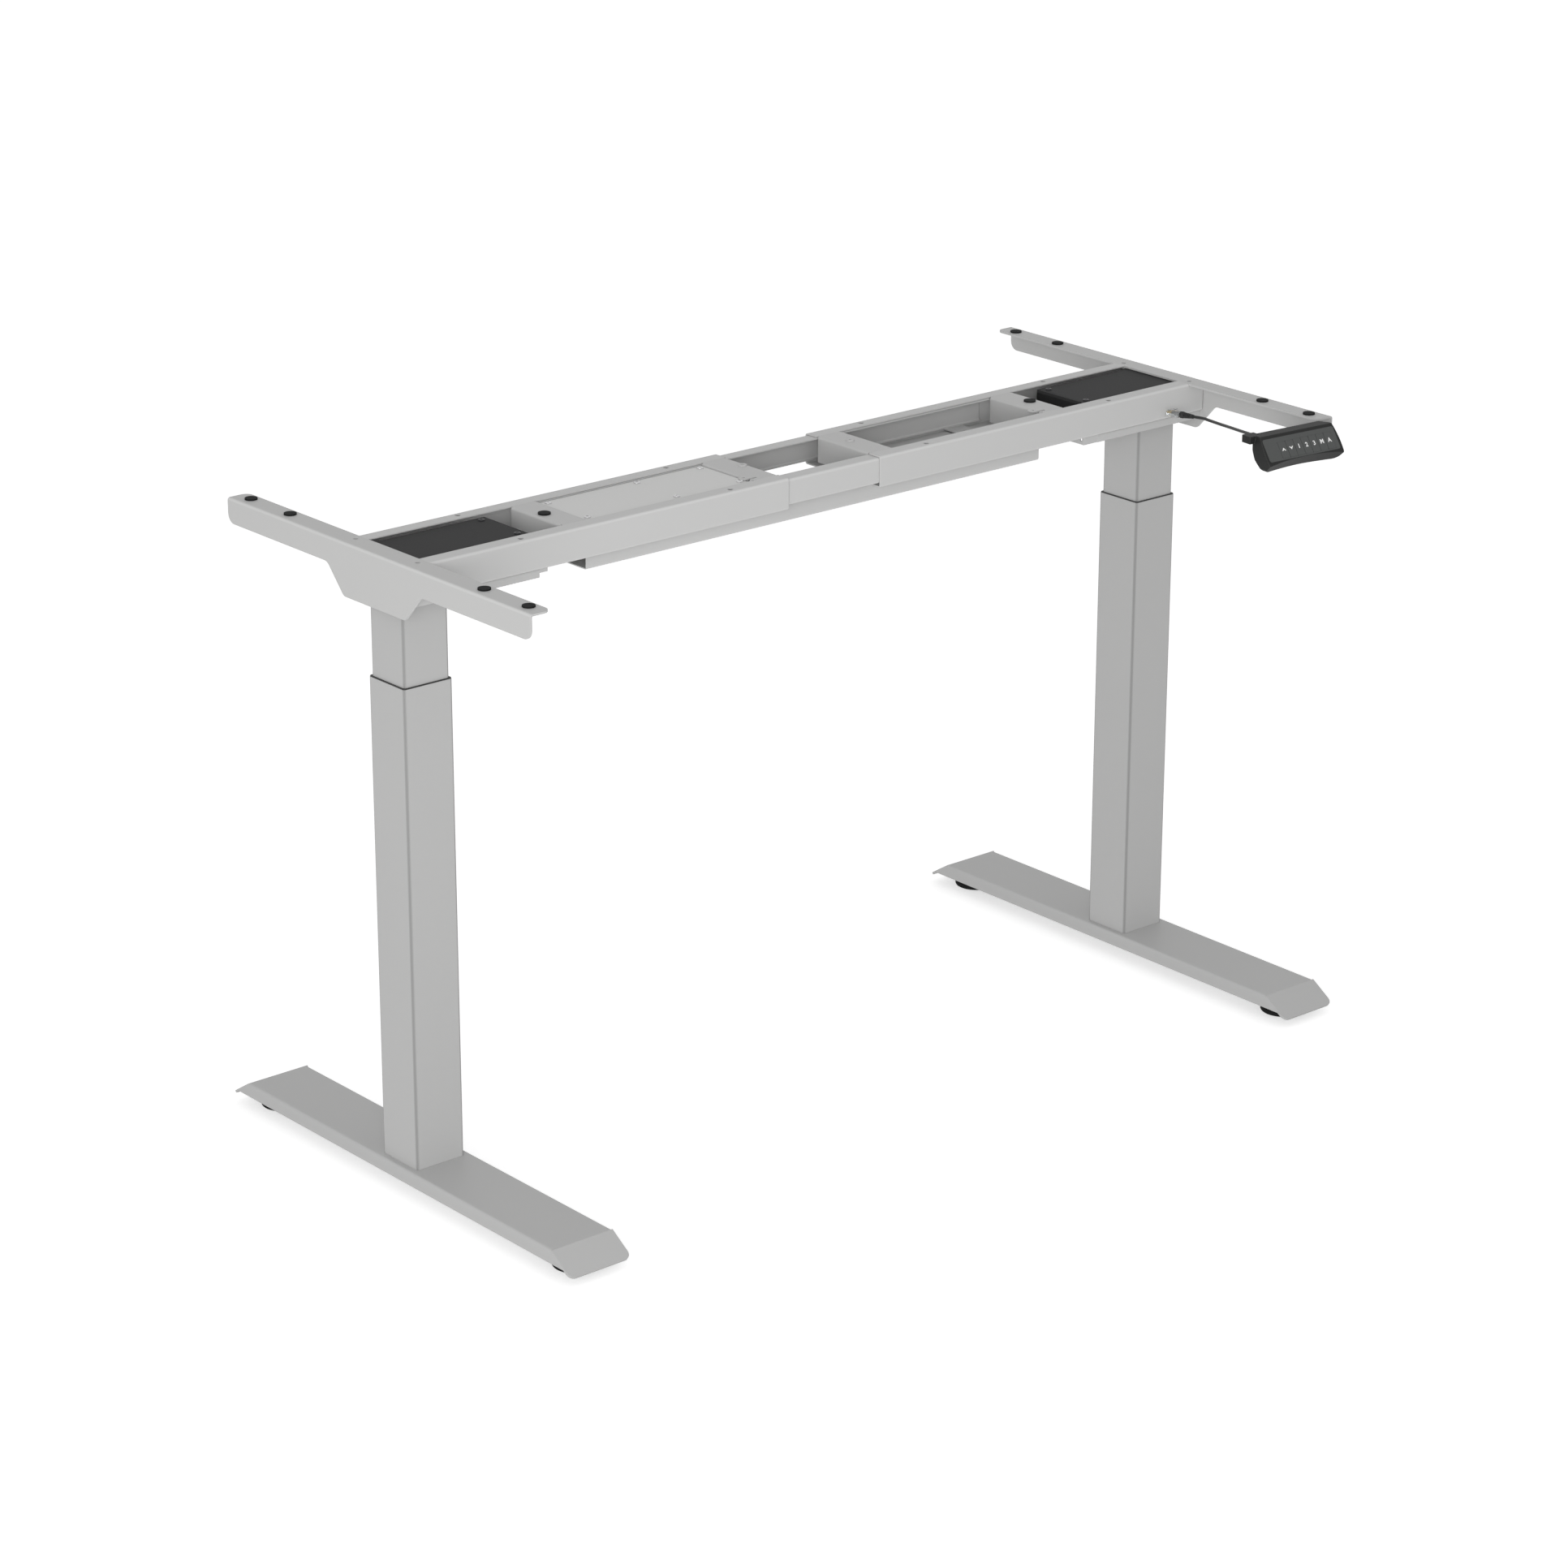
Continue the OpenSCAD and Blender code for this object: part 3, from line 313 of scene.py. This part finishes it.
def plug_core():
    """The lead's flat end and its bare wires, seen dark inside the clear block."""
    bm = bmesh.new()
    soft_box(bm, JACKET_SIZE, Matrix.Translation((0, 0, JACKET_AT)), JACKET_EDGE)
    wire_row(bm, WIRE_SIZE, WIRE_PITCH, WIRE_AT, WIRE_EDGE)
    return add_object("plug_core", finish_mesh(bm, "plug_core"))


plug_parts = [plug_body(), plug_blades(), plug_core()]
print("plug pieces:", [part.name for part in plug_parts])

# %% [markdown]
# ## The boot
# A rubber boot behind the plug keeps the lead from being bent sharply. It is a turned cone, and the ribs
# along it are grooves between rings, so one outline that steps in and out makes them all. A smooth cone
# with bump would look right only from far away.

# %% Boot
BOOT_LENGTH, BOOT_START, BOOT_END, BOOT_SMOOTH = 0.022, 0.0045, 0.00275, 30
END_SHARE, COLLAR_EDGE, COLLAR_LENGTH, TAIL_EDGE = 0.9, 0.0006, 0.004, 0.0005
RIBS, RIBS_FROM, UNRIBBED, GROOVE = 5, 0.005, 0.008, 0.0007
RIB_STEPS = ((0.0, GROOVE), (0.3, GROOVE), (0.4, 0.0), (0.9, 0.0))


def boot_profile():
    """A tapering outline with ribs; the widest one is at the plug."""
    outline = [(0, 0), (BOOT_START * END_SHARE, 0), (BOOT_START, COLLAR_EDGE), (BOOT_START, COLLAR_LENGTH)]
    rib = (BOOT_LENGTH - UNRIBBED) / RIBS
    for k in range(RIBS):
        low = RIBS_FROM + k * rib
        for share, sink in RIB_STEPS:
            height = low + share * rib
            radius = BOOT_START + (BOOT_END - BOOT_START) * height / BOOT_LENGTH
            outline.append((radius - sink, height))
    return [*outline, (BOOT_END, BOOT_LENGTH - TAIL_EDGE), (BOOT_END * END_SHARE, BOOT_LENGTH),
            (0, BOOT_LENGTH)]


def boot():
    bm = bmesh.new()
    spin_profile(bm, boot_profile(), Matrix.Translation((0, 0, PLUG_LENGTH)))
    return add_object("boot", finish_mesh(bm, "boot", BOOT_SMOOTH))


plug_parts.append(boot())
print("boot:", RIBS, "ribs on", BOOT_LENGTH, "m")

# %% [markdown]
# ## Where the plug rests
# The plug lies with its nose against the front rail, tilted down and turned a little aside. A corner at
# the top of its nose, where the latch starts, comes nearest to the rail, so the gap that keeps it just
# clear is worked out from both angles. One matrix then moves all of the plug's pieces together.

# %% Place the plug and boot
PLUG_TILT, PLUG_DRIFT, BEAM_FACE = math.radians(4), math.radians(2.7), -0.071
NOSE_X, NOSE_Z, NOSE_CLEAR = 0.5754, 0.773, 0.00005
nose_gap = (NOSE_CLEAR + (PLUG_DEPTH / 2 + LATCH_SHEET) * math.sin(PLUG_TILT)
            + PLUG_WIDTH / 2 * math.sin(PLUG_DRIFT))
plug_place = (Matrix.Translation((NOSE_X, BEAM_FACE - nose_gap, NOSE_Z)) @ Matrix.Rotation(PLUG_DRIFT, 4, "Z")
              @ Matrix.Rotation(math.radians(90) - PLUG_TILT, 4, "X"))
for part in plug_parts:
    part.matrix_world = plug_place
    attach(part, "right_carriage")
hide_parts("lead_plug")
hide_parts("lead_boot")
print("gap at the nose, mm:", round(nose_gap / MM, 2))

# %% [markdown]
# ## Signs on the keys
# The key signs are white print: two arrow heads, three figures and two letters. Arrow heads are bent
# strips, built point by point. Figures and letters come from Blender's own plain font, as text objects.
# All have a hair of thickness, so that they stand on the key like ink and don't flicker inside it.

# %% Key signs
KEYS = ["key_up", "key_down", "key_one", "key_two", "key_three", "key_memory", "key_auto"]
SIGNS = ["up", "down", "1", "2", "3", "M", "A"]
KEY_PITCH, KEYS_LEFT, KEY_TOP = 0.0127, -0.0369, 0.0002
SIGN_HEIGHT, SIGN_DROP, INK = 0.0057, -0.0017, 0.00006
FONT_PER_HEIGHT, LETTER_SPREAD, LETTER_STEPS = 1.42, 0.0002, 4
ARROW_HALF, ARROW_TALL, ARROW_THICK, ARROW_FOOT, ARROW_PEAK = 0.0032, 0.0042, 0.0014, 1.1, 1.75


def arrow_mesh(name, up):
    """A bent strip; its feet and its peak are wider than the strip is thick, because it slopes."""
    bm = bmesh.new()
    half, top, thick = ARROW_HALF, ARROW_TALL / 2, ARROW_THICK
    flip = 1 if up else -1
    outline = [(-half, -top), (0, top), (half, -top), (half - thick * ARROW_FOOT, -top),
               (0, top - thick * ARROW_PEAK), (thick * ARROW_FOOT - half, -top)]
    for z in (0, INK):
        ring = [bm.verts.new((x, y * flip, z)) for x, y in outline]
        bm.faces.new([ring[0], ring[1], ring[4], ring[5]])
        bm.faces.new([ring[1], ring[2], ring[3], ring[4]])
    bm.verts.ensure_lookup_table()
    n = len(outline)
    for k in range(n):
        bm.faces.new([bm.verts[k], bm.verts[(k + 1) % n], bm.verts[n + (k + 1) % n], bm.verts[n + k]])
    return finish_mesh(bm, name)


signs = []
for i, (key, text) in enumerate(zip(KEYS, SIGNS)):
    if text in ("up", "down"):
        sign = add_object("sign_" + text, arrow_mesh("sign_" + text, text == "up"))
    else:
        letters = bpy.data.curves.new("sign_" + text, "FONT")
        letters.body = text
        letters.size = SIGN_HEIGHT * FONT_PER_HEIGHT
        letters.align_x, letters.align_y = "CENTER", "CENTER"
        letters.extrude = INK / 2
        letters.offset = LETTER_SPREAD
        letters.resolution_u = LETTER_STEPS
        sign = add_object("sign_" + text, letters)
    sign.matrix_world = face_place @ Matrix.Translation(
        (KEYS_LEFT + (i + 0.5) * KEY_PITCH, SIGN_DROP, KEY_TOP + INK / 2))
    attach(sign, key)
    signs.append(sign)
print("signs:", [s.name for s in signs])

# %% [markdown]
# ## Shared effects
# Several finishes need the same effects, so each effect is a node group with its own inputs, built once
# and placed in many materials. A group puts out only masks, heights and normals; the shader stays in the
# material. These helpers make a group and wire its sums in single lines.


# %% Helpers for nodes
def new_group(name, inputs, outputs):
    group = bpy.data.node_groups.new(name, "ShaderNodeTree")
    for label, kind, value in inputs:
        socket = group.interface.new_socket(name=label, in_out="INPUT", socket_type=kind)
        if value is not None:
            socket.default_value = value
    for label, kind in outputs:
        group.interface.new_socket(name=label, in_out="OUTPUT", socket_type=kind)
    return group, group.nodes.new("NodeGroupInput"), group.nodes.new("NodeGroupOutput")


def wire(tree, source, target):
    tree.links.new(source, target)


def math_node(tree, operation, a, b=None, clamp=False):
    node = tree.nodes.new("ShaderNodeMath")
    node.operation = operation
    node.use_clamp = clamp
    for socket, value in zip(node.inputs, (a, b)):
        if value is None:
            continue
        if isinstance(value, (int, float)):
            socket.default_value = value
        else:
            wire(tree, value, socket)
    return node.outputs[0]


print("node helpers ready")

# %% [markdown]
# ## Grain
# Powder coat and moulded plastic are never quite smooth or even. One noise at a fine scale gives a height
# for bump, and a second, slow one drifts the shade. Both are laid by the place on the piece in metres, so
# the grain keeps its real size everywhere and needs no unwrapping.

# %% Grain group
FINE_DETAIL, CLOUD_DETAIL = 3, 4


def grain_group():
    """Fine grain: a height for bump, and a slow variation of the shade."""
    group, source, target = new_group(
        "Surface grain",
        [("Vector", "NodeSocketVector", None), ("Grain size", "NodeSocketFloat", 900.0),
         ("Cloud size", "NodeSocketFloat", 6.0)],
        [("Height", "NodeSocketFloat"), ("Cloud", "NodeSocketFloat")])
    rows = (("Grain size", FINE_DETAIL, "Height"), ("Cloud size", CLOUD_DETAIL, "Cloud"))
    for size, detail, output in rows:
        noise = group.nodes.new("ShaderNodeTexNoise")
        noise.inputs["Detail"].default_value = detail
        wire(group, source.outputs["Vector"], noise.inputs["Vector"])
        wire(group, source.outputs[size], noise.inputs["Scale"])
        wire(group, noise.outputs["Fac"], target.inputs[output])
    return group


GRAIN = grain_group()
print("group:", GRAIN.name)

# %% [markdown]
# ## Soft edges
# No real edge is perfectly sharp: it is a little rounded and catches the light. Rounding every edge of
# the skeleton isn't possible, because its meshes stay as they are. The Bevel node bends the normal near
# an edge instead, and how far it bends also tells where the edges are.

# %% Soft edge group
BEVEL_SAMPLES, EDGE_GAIN = 6, 6.0


def edge_group():
    """Softly rounded normals, and a mask that rises to 1 along edges."""
    group, source, target = new_group(
        "Soft edges", [("Radius", "NodeSocketFloat", 0.001)],
        [("Normal", "NodeSocketVector"), ("Edge", "NodeSocketFloat")])
    bevel = group.nodes.new("ShaderNodeBevel")
    bevel.samples = BEVEL_SAMPLES
    wire(group, source.outputs["Radius"], bevel.inputs["Radius"])
    geometry = group.nodes.new("ShaderNodeNewGeometry")
    dot = group.nodes.new("ShaderNodeVectorMath")
    dot.operation = "DOT_PRODUCT"
    wire(group, bevel.outputs["Normal"], dot.inputs[0])
    wire(group, geometry.outputs["Normal"], dot.inputs[1])
    bent = math_node(group, "SUBTRACT", 1.0, dot.outputs["Value"])
    wire(group, bevel.outputs["Normal"], target.inputs["Normal"])
    wire(group, math_node(group, "MULTIPLY", bent, EDGE_GAIN, True), target.inputs["Edge"])
    return group


EDGES = edge_group()
print("group:", EDGES.name)

# %% [markdown]
# ## Rounded corners
# The corners of the columns are rounded in the skeleton itself, and in the picture they are a darker line
# from top to bottom, made here as a painted shade. The folds of rails and brackets are a lighter one, a
# painted highlight. A normal on a flat side has one large part only, so the product of two of its parts is
# a mask for what lies between two sides.


# %% Rounded corner group
def corner_group():
    """Masks that are 1 on a rounded corner and 0 on flat sides: upright corners, and level folds."""
    group, source, target = new_group("Rounded corners", [("Sharpness", "NodeSocketFloat", 2.0)],
                                      [("Corner", "NodeSocketFloat"), ("Fold", "NodeSocketFloat")])
    geometry = group.nodes.new("ShaderNodeNewGeometry")
    parts = group.nodes.new("ShaderNodeSeparateXYZ")
    wire(group, geometry.outputs["Normal"], parts.inputs[0])
    across = math_node(group, "ADD", math_node(group, "ABSOLUTE", parts.outputs["X"]),
                       math_node(group, "ABSOLUTE", parts.outputs["Y"]))
    pairs = {"Corner": (parts.outputs["X"], parts.outputs["Y"]), "Fold": (across, parts.outputs["Z"])}
    for label, (first, second) in pairs.items():
        both = math_node(group, "ABSOLUTE", math_node(group, "MULTIPLY", first, second))
        mask = math_node(group, "MULTIPLY", both, source.outputs["Sharpness"], True)
        wire(group, mask, target.inputs[label])
    return group


CORNERS = corner_group()
print("group:", CORNERS.name)

# %% [markdown]
# ## Small steps that come back in every material
# Each finish places groups with its own values, mixes two colours by a mask, and makes a tone lighter or
# darker. These three steps are helpers, so that the recipe after them reads like a list of layers.


# %% Helpers for materials
def place_group(tree, group, **values):
    node = tree.nodes.new("ShaderNodeGroup")
    node.node_tree = group
    for label, value in values.items():
        node.inputs[label.replace("_", " ")].default_value = value
    return node


def mix_colours(tree, mask, first, second):
    """First where the mask is 0, second where it is 1; each is a colour or a node's output."""
    mix = tree.nodes.new("ShaderNodeMix")
    mix.data_type = "RGBA"
    wire(tree, mask, mix.inputs["Factor"])
    for socket, value in ((mix.inputs["A"], first), (mix.inputs["B"], second)):
        if isinstance(value, bpy.types.NodeSocket):
            wire(tree, value, socket)
        else:
            socket.default_value = (*value, 1)
    return next(s for s in mix.outputs if s.type == "RGBA")


def shade(tone, factor):
    """A tone made lighter or darker."""
    return tuple(c * factor for c in tone)


print("material helpers ready")

# %% [markdown]
# ## One recipe for paint, plastic and metal
# Powder coat, moulded plastic, rubber and zinc differ in numbers, not in kind: a tone, factors that make
# it lighter or darker along edges, in slow clouds, on corners and on folds, the size and depth of the
# grain, and roughness. Lighter edges and folds are a painted highlight, darker edges and corners a painted
# shade; the slow clouds are the finish's own uneven tone. The recipe takes those numbers and wires the
# shared groups into a Principled shader that lives in the material itself.

# %% The recipe
GRAIN_HEIGHT = 0.0002


def coated(name, tone, edge=1.1, cloudy=1.03, roughness=0.5, grain=900.0, depth=0.15, cloud=6.0,
           radius=0.0008, metallic=0.0, spread=0.08, specular=0.3, corner=0.0, fold=0.0):
    """A grained finish. Edge, cloudy, corner and fold are factors on the tone; a fold of 0 marks none. Edge,
    corner and fold are painted light: a highlight above 1, a shade below 1.
    """
    material = bpy.data.materials.new(name)
    material.use_nodes = True
    tree = material.node_tree
    shader = tree.nodes["Principled BSDF"]
    place = tree.nodes.new("ShaderNodeTexCoord").outputs["Object"]
    grain_node = place_group(tree, GRAIN, Grain_size=grain, Cloud_size=cloud)
    wire(tree, place, grain_node.inputs["Vector"])
    edges = place_group(tree, EDGES, Radius=radius)
    clouded = mix_colours(tree, grain_node.outputs["Cloud"], tone, shade(tone, cloudy))
    # painted highlight or painted shade along edges: the edge factor lightens or darkens the tone where the
    # edge mask rises
    edged = mix_colours(tree, edges.outputs["Edge"], clouded, shade(tone, edge))
    # painted shade on upright corners and painted highlight on level folds, by the corner and fold factors
    for label, factor in (("Corner", corner), ("Fold", fold)):
        if factor:
            corners = place_group(tree, CORNERS)
            edged = mix_colours(tree, corners.outputs[label], edged, shade(tone, factor))
    wire(tree, edged, shader.inputs["Base Color"])
    uneven = math_node(tree, "MULTIPLY", grain_node.outputs["Height"], spread)
    wire(tree, math_node(tree, "ADD", uneven, roughness - spread / 2), shader.inputs["Roughness"])
    bump = tree.nodes.new("ShaderNodeBump")
    bump.inputs["Strength"].default_value = depth
    bump.inputs["Distance"].default_value = GRAIN_HEIGHT
    wire(tree, grain_node.outputs["Height"], bump.inputs["Height"])
    wire(tree, edges.outputs["Normal"], bump.inputs["Normal"])
    wire(tree, bump.outputs["Normal"], shader.inputs["Normal"])
    shader.inputs["Metallic"].default_value = metallic
    shader.inputs["Specular IOR Level"].default_value = specular
    return material


print("recipe ready")

# %% [markdown]
# ## Powder coat
# The whole frame is coated in one light grey, a baked powder with a very fine, dull grain. The tones
# still differ a little from piece to piece, because they were set against the photograph one by one; the
# differences are painted light and shade, the one grey made lighter on rails and darker on columns and
# feet. Corners of the columns go darker with a painted shade, and the folds of rails and brackets lighter
# with a painted highlight. The control box has a paler and smoother paint of its own.

# %% Powder coat
POWDER = {"grain": 1400.0, "depth": 0.12}
# painted light and shade: each tone here is the same grey lit or shaded for its piece; an edge factor above 1
# and the fold factor paint a highlight
beam_coat = coated("beam_coat", (0.6, 0.6, 0.596), edge=1.12, fold=1.16, **POWDER)
bracket_coat = coated("bracket_coat", (0.56, 0.56, 0.555), edge=1.1, fold=1.18, **POWDER)
# painted shade: an edge factor below 1 and the corner factor darken the columns' edges and corners
column_coat = coated("column_coat", (0.495, 0.495, 0.492), edge=0.9, corner=0.58, **POWDER)
foot_coat = coated("foot_coat", (0.5, 0.5, 0.497), edge=1.1, **POWDER)
plate_coat = coated("plate_coat", (0.56, 0.56, 0.556), edge=1.08, **POWDER)
box_paint = coated("box_paint", (0.68, 0.68, 0.672), edge=1.08, roughness=0.42, depth=0.04)
print("materials so far:", len(bpy.data.materials))

# %% [markdown]
# ## Plastic and rubber
# The motor housings, the handset and the pads are nearly black, yet each reads differently: edges of the
# housings and the handset catch the light, the key panel is a dark grey film, and the pads are dull
# rubber. A very low tone with a strong edge factor, a painted highlight along the edges, does that, where
# plain black would lose every shape.

# %% Plastic and rubber
# painted highlight: edge factors from 1.1 to 4 lighten the tone along every edge
black_moulding = coated("black_moulding", (0.017, 0.017, 0.0174), edge=4.0, cloudy=1.15, roughness=0.6,
                        grain=700.0, depth=0.2, specular=0.12, radius=0.0012)
handset_plastic = coated("handset_plastic", (0.021, 0.0214, 0.021), edge=3.2, cloudy=1.12, roughness=0.55,
                         grain=1600.0, depth=0.12, radius=0.0012, specular=0.15)
panel_film = coated("panel_film", (0.088, 0.0915, 0.09), edge=1.3, cloudy=1.06, roughness=0.6,
                    grain=2200.0, depth=0.08, radius=0.0002, specular=0.2)
pad_rubber = coated("pad_rubber", (0.012, 0.0125, 0.0125), edge=1.6, cloudy=1.2, roughness=0.75,
                    grain=500.0, depth=0.3, radius=0.0006, specular=0.1)
guide_plastic = coated("guide_plastic", (0.03, 0.03, 0.03), edge=1.8, cloudy=1.2)
lead_jacket = coated("lead_jacket", (0.02, 0.02, 0.02), cloudy=1.2, roughness=0.4, grain=1500.0, depth=0.1,
                     radius=0.0001, specular=0.25)
core_plastic = coated("core_plastic", (0.2, 0.2, 0.2), edge=1.5, cloudy=0.7, radius=0.0002)
print("materials so far:", len(bpy.data.materials))

# %% [markdown]
# ## Metal, boards and ink
# Screws, push tubes, gearmotors and the plug's gilt blades are bare or plated metal. The same recipe
# makes them, with a high metallic value and small patches of another shade, as on uneven plating. The
# boards' green mask and the white ink of the signs come from it too.

# %% Metal, boards and ink
PLATED = {"roughness": 0.35, "grain": 1200.0, "depth": 0.1, "cloud": 60.0, "radius": 0.0003}
# painted highlight: edge factors above 1 lighten the tone along the edges of the metal parts and the board
# mask
zinc = coated("zinc", (0.6, 0.6, 0.605), edge=1.2, cloudy=0.85, metallic=0.9, **PLATED)
black_oxide = coated("black_oxide", (0.035, 0.035, 0.037), edge=2.2, cloudy=1.4, metallic=0.6, **PLATED)
motor_steel = coated("motor_steel", (0.2, 0.2, 0.21), edge=1.8, cloudy=1.2, roughness=0.4, metallic=0.7)
gilt = coated("gilt", (0.75, 0.56, 0.22), edge=1.2, cloudy=0.9, roughness=0.3, metallic=1.0, radius=0.0001)
board_mask = coated("board_mask", (0.012, 0.1, 0.045), edge=1.8, cloudy=1.3, roughness=0.35,
                    grain=300.0, depth=0.2)
sign_ink = coated("sign_ink", (0.95, 0.95, 0.94), edge=1.0, cloudy=0.96, radius=0.00002)
print("materials so far:", len(bpy.data.materials))

# %% [markdown]
# ## Clear plastic
# The plug's block is clear, but it isn't invisible: its edges look dark, because light that enters there
# is lost inside. Starting from the same recipe keeps those edges as a painted shade, an edge factor well
# below 1, and two plain values on the shader then let most of the light through.

# %% Clear plastic
CLEARNESS, CLEAR_IOR = 0.85, 1.3
# painted shade: an edge factor of 0.35 darkens the tone along the block's edges
clear_plastic = coated("clear_plastic", (0.9, 0.92, 0.93), edge=0.35, cloudy=0.95, roughness=0.12,
                       depth=0.02, radius=0.0004, spread=0.04, specular=0.5)
clear_shader = clear_plastic.node_tree.nodes["Principled BSDF"]
clear_shader.inputs["Transmission Weight"].default_value = CLEARNESS
clear_shader.inputs["IOR"].default_value = CLEAR_IOR
print("materials in all:", len(bpy.data.materials))

# %% [markdown]
# ## Giving each piece its finish
# Finishes go by piece. The skeleton's objects keep their meshes; only the material in their slot changes.
# The left and right pieces are alike, so one list serves both sides.

# %% Assign the finishes
FINISH = {"foot": foot_coat, "outer_tube": column_coat, "inner_tube": column_coat,
          "mount_channel": plate_coat, "side_bracket": bracket_coat, "front_outer_rail": beam_coat,
          "rear_outer_rail": beam_coat, "motor_cross_plate": plate_coat,
          "centre_cross_plate": plate_coat, "guide_collar": guide_plastic, "guide_shoe": guide_plastic,
          "push_tube": zinc, "lifting_screw": zinc, "motor_housing": black_moulding,
          "gearmotor": motor_steel, "rubber_pads": pad_rubber, "housing_screws": black_oxide,
          "front_glide": pad_rubber, "rear_glide": pad_rubber, "front_inner_rail": beam_coat,
          "rear_inner_rail": beam_coat, "cable_tray": beam_coat, "control_box_body": box_paint,
          "control_box_lid": box_paint, "control_box_screws": zinc, "control_board": board_mask,
          "handset_case": handset_plastic, "handset_bezel": panel_film, "handset_board": board_mask,
          "handset_lead": lead_jacket, "lead_boot": lead_jacket, "lead_plug": clear_plastic}


def give(piece, material):
    piece.data.materials.clear()
    piece.data.materials.append(material)


for name, piece in nodes.items():
    plain = name.removeprefix("left_").removeprefix("right_")
    give(piece, panel_film if plain.startswith("key_") else FINISH[plain])
give(screw_pieces[0], zinc)
for piece in screw_pieces[1:]:
    give(piece, black_oxide)
for sign in signs:
    give(sign, sign_ink)
for part, finish in zip(plug_parts, (clear_plastic, gilt, core_plastic, lead_jacket)):
    give(part, finish)
give(lead, lead_jacket)
print("nodes dressed:", len(nodes))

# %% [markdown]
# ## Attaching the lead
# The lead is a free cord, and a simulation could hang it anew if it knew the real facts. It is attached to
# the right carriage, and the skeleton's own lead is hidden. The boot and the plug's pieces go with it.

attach(lead, "right_carriage")
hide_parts("handset_lead")

# %% [markdown]
# ## The floor
# A product picture stands on paper so white that only a soft shadow shows where the feet are. The floor
# is pale paint with a glow on top that lifts it to white, and only the camera, metal and glass see the
# glow. A brighter lamp would whiten the floor too, but it would bleach the frame.

# %% Floor
FLOOR_HALF, FLOOR_DROP, FLOOR_TONE, FLOOR_ROUGHNESS, FLOOR_GLOW = 14, 0.0005, 0.8, 0.9, 0.56


def seen_directly(tree):
    """1 for what the camera, metal and glass see, and 0 for light on its way between surfaces."""
    rays = tree.nodes.new("ShaderNodeLightPath")
    seen = math_node(tree, "MAXIMUM", rays.outputs["Is Camera Ray"], rays.outputs["Is Glossy Ray"])
    return math_node(tree, "MAXIMUM", seen, rays.outputs["Is Transmission Ray"])


floor_mesh = bpy.data.meshes.new("floor")
floor_corners = [(x * FLOOR_HALF, y * FLOOR_HALF, 0) for x, y in ((-1, -1), (1, -1), (1, 1), (-1, 1))]
floor_mesh.from_pydata(floor_corners, [], [(0, 1, 2, 3)])
floor = add_object("floor", floor_mesh)
floor.location.z = -FLOOR_DROP
floor_paint = bpy.data.materials.new("floor_paint")
floor_paint.use_nodes = True
tree = floor_paint.node_tree
shader = tree.nodes["Principled BSDF"]
shader.inputs["Base Color"].default_value = (FLOOR_TONE, FLOOR_TONE, FLOOR_TONE, 1)
shader.inputs["Roughness"].default_value = FLOOR_ROUGHNESS
glow = tree.nodes.new("ShaderNodeEmission")
wire(tree, math_node(tree, "MULTIPLY", seen_directly(tree), FLOOR_GLOW), glow.inputs["Strength"])
add = tree.nodes.new("ShaderNodeAddShader")
wire(tree, shader.outputs[0], add.inputs[0])
wire(tree, glow.outputs[0], add.inputs[1])
wire(tree, add.outputs[0], tree.nodes["Material Output"].inputs["Surface"])
give(floor, floor_paint)
print("floor:", 2 * FLOOR_HALF, "m wide")

# %% [markdown]
# ## The surround and the lamp
# Soft light comes from all sides, from a white world that is dimmer as a light than as a background. One
# broad lamp stands lower than the camera and to its left, and gives the sides of the frame their
# different greys. Both are low enough that pale paint doesn't clip to white.

# %% World and lamp
AMBIENT = 0.56
LAMP_AT, LAMP_AIM, LAMP_POWER, LAMP_SIZE = Vector((-4.3, -4.0, 1.6)), Vector((0, 0, 0.6)), 160, 3.0
world = bpy.data.worlds.new("studio")
bpy.context.scene.world = world
world.use_nodes = True
tree = world.node_tree
background = tree.nodes["Background"]
lift = math_node(tree, "MULTIPLY", seen_directly(tree), 1 - AMBIENT)
wire(tree, math_node(tree, "ADD", lift, AMBIENT), background.inputs["Strength"])
background.inputs["Color"].default_value = (1, 1, 1, 1)

lamp_data = bpy.data.lights.new("key_lamp", "AREA")
lamp_data.energy, lamp_data.size = LAMP_POWER, LAMP_SIZE
lamp = add_object("key_lamp", lamp_data)
lamp.location = LAMP_AT
lamp.rotation_mode = "QUATERNION"
lamp.rotation_quaternion = (LAMP_AIM - LAMP_AT).to_track_quat("-Z", "Y")
bpy.context.scene.view_settings.view_transform = "Standard"
print("studio ready")
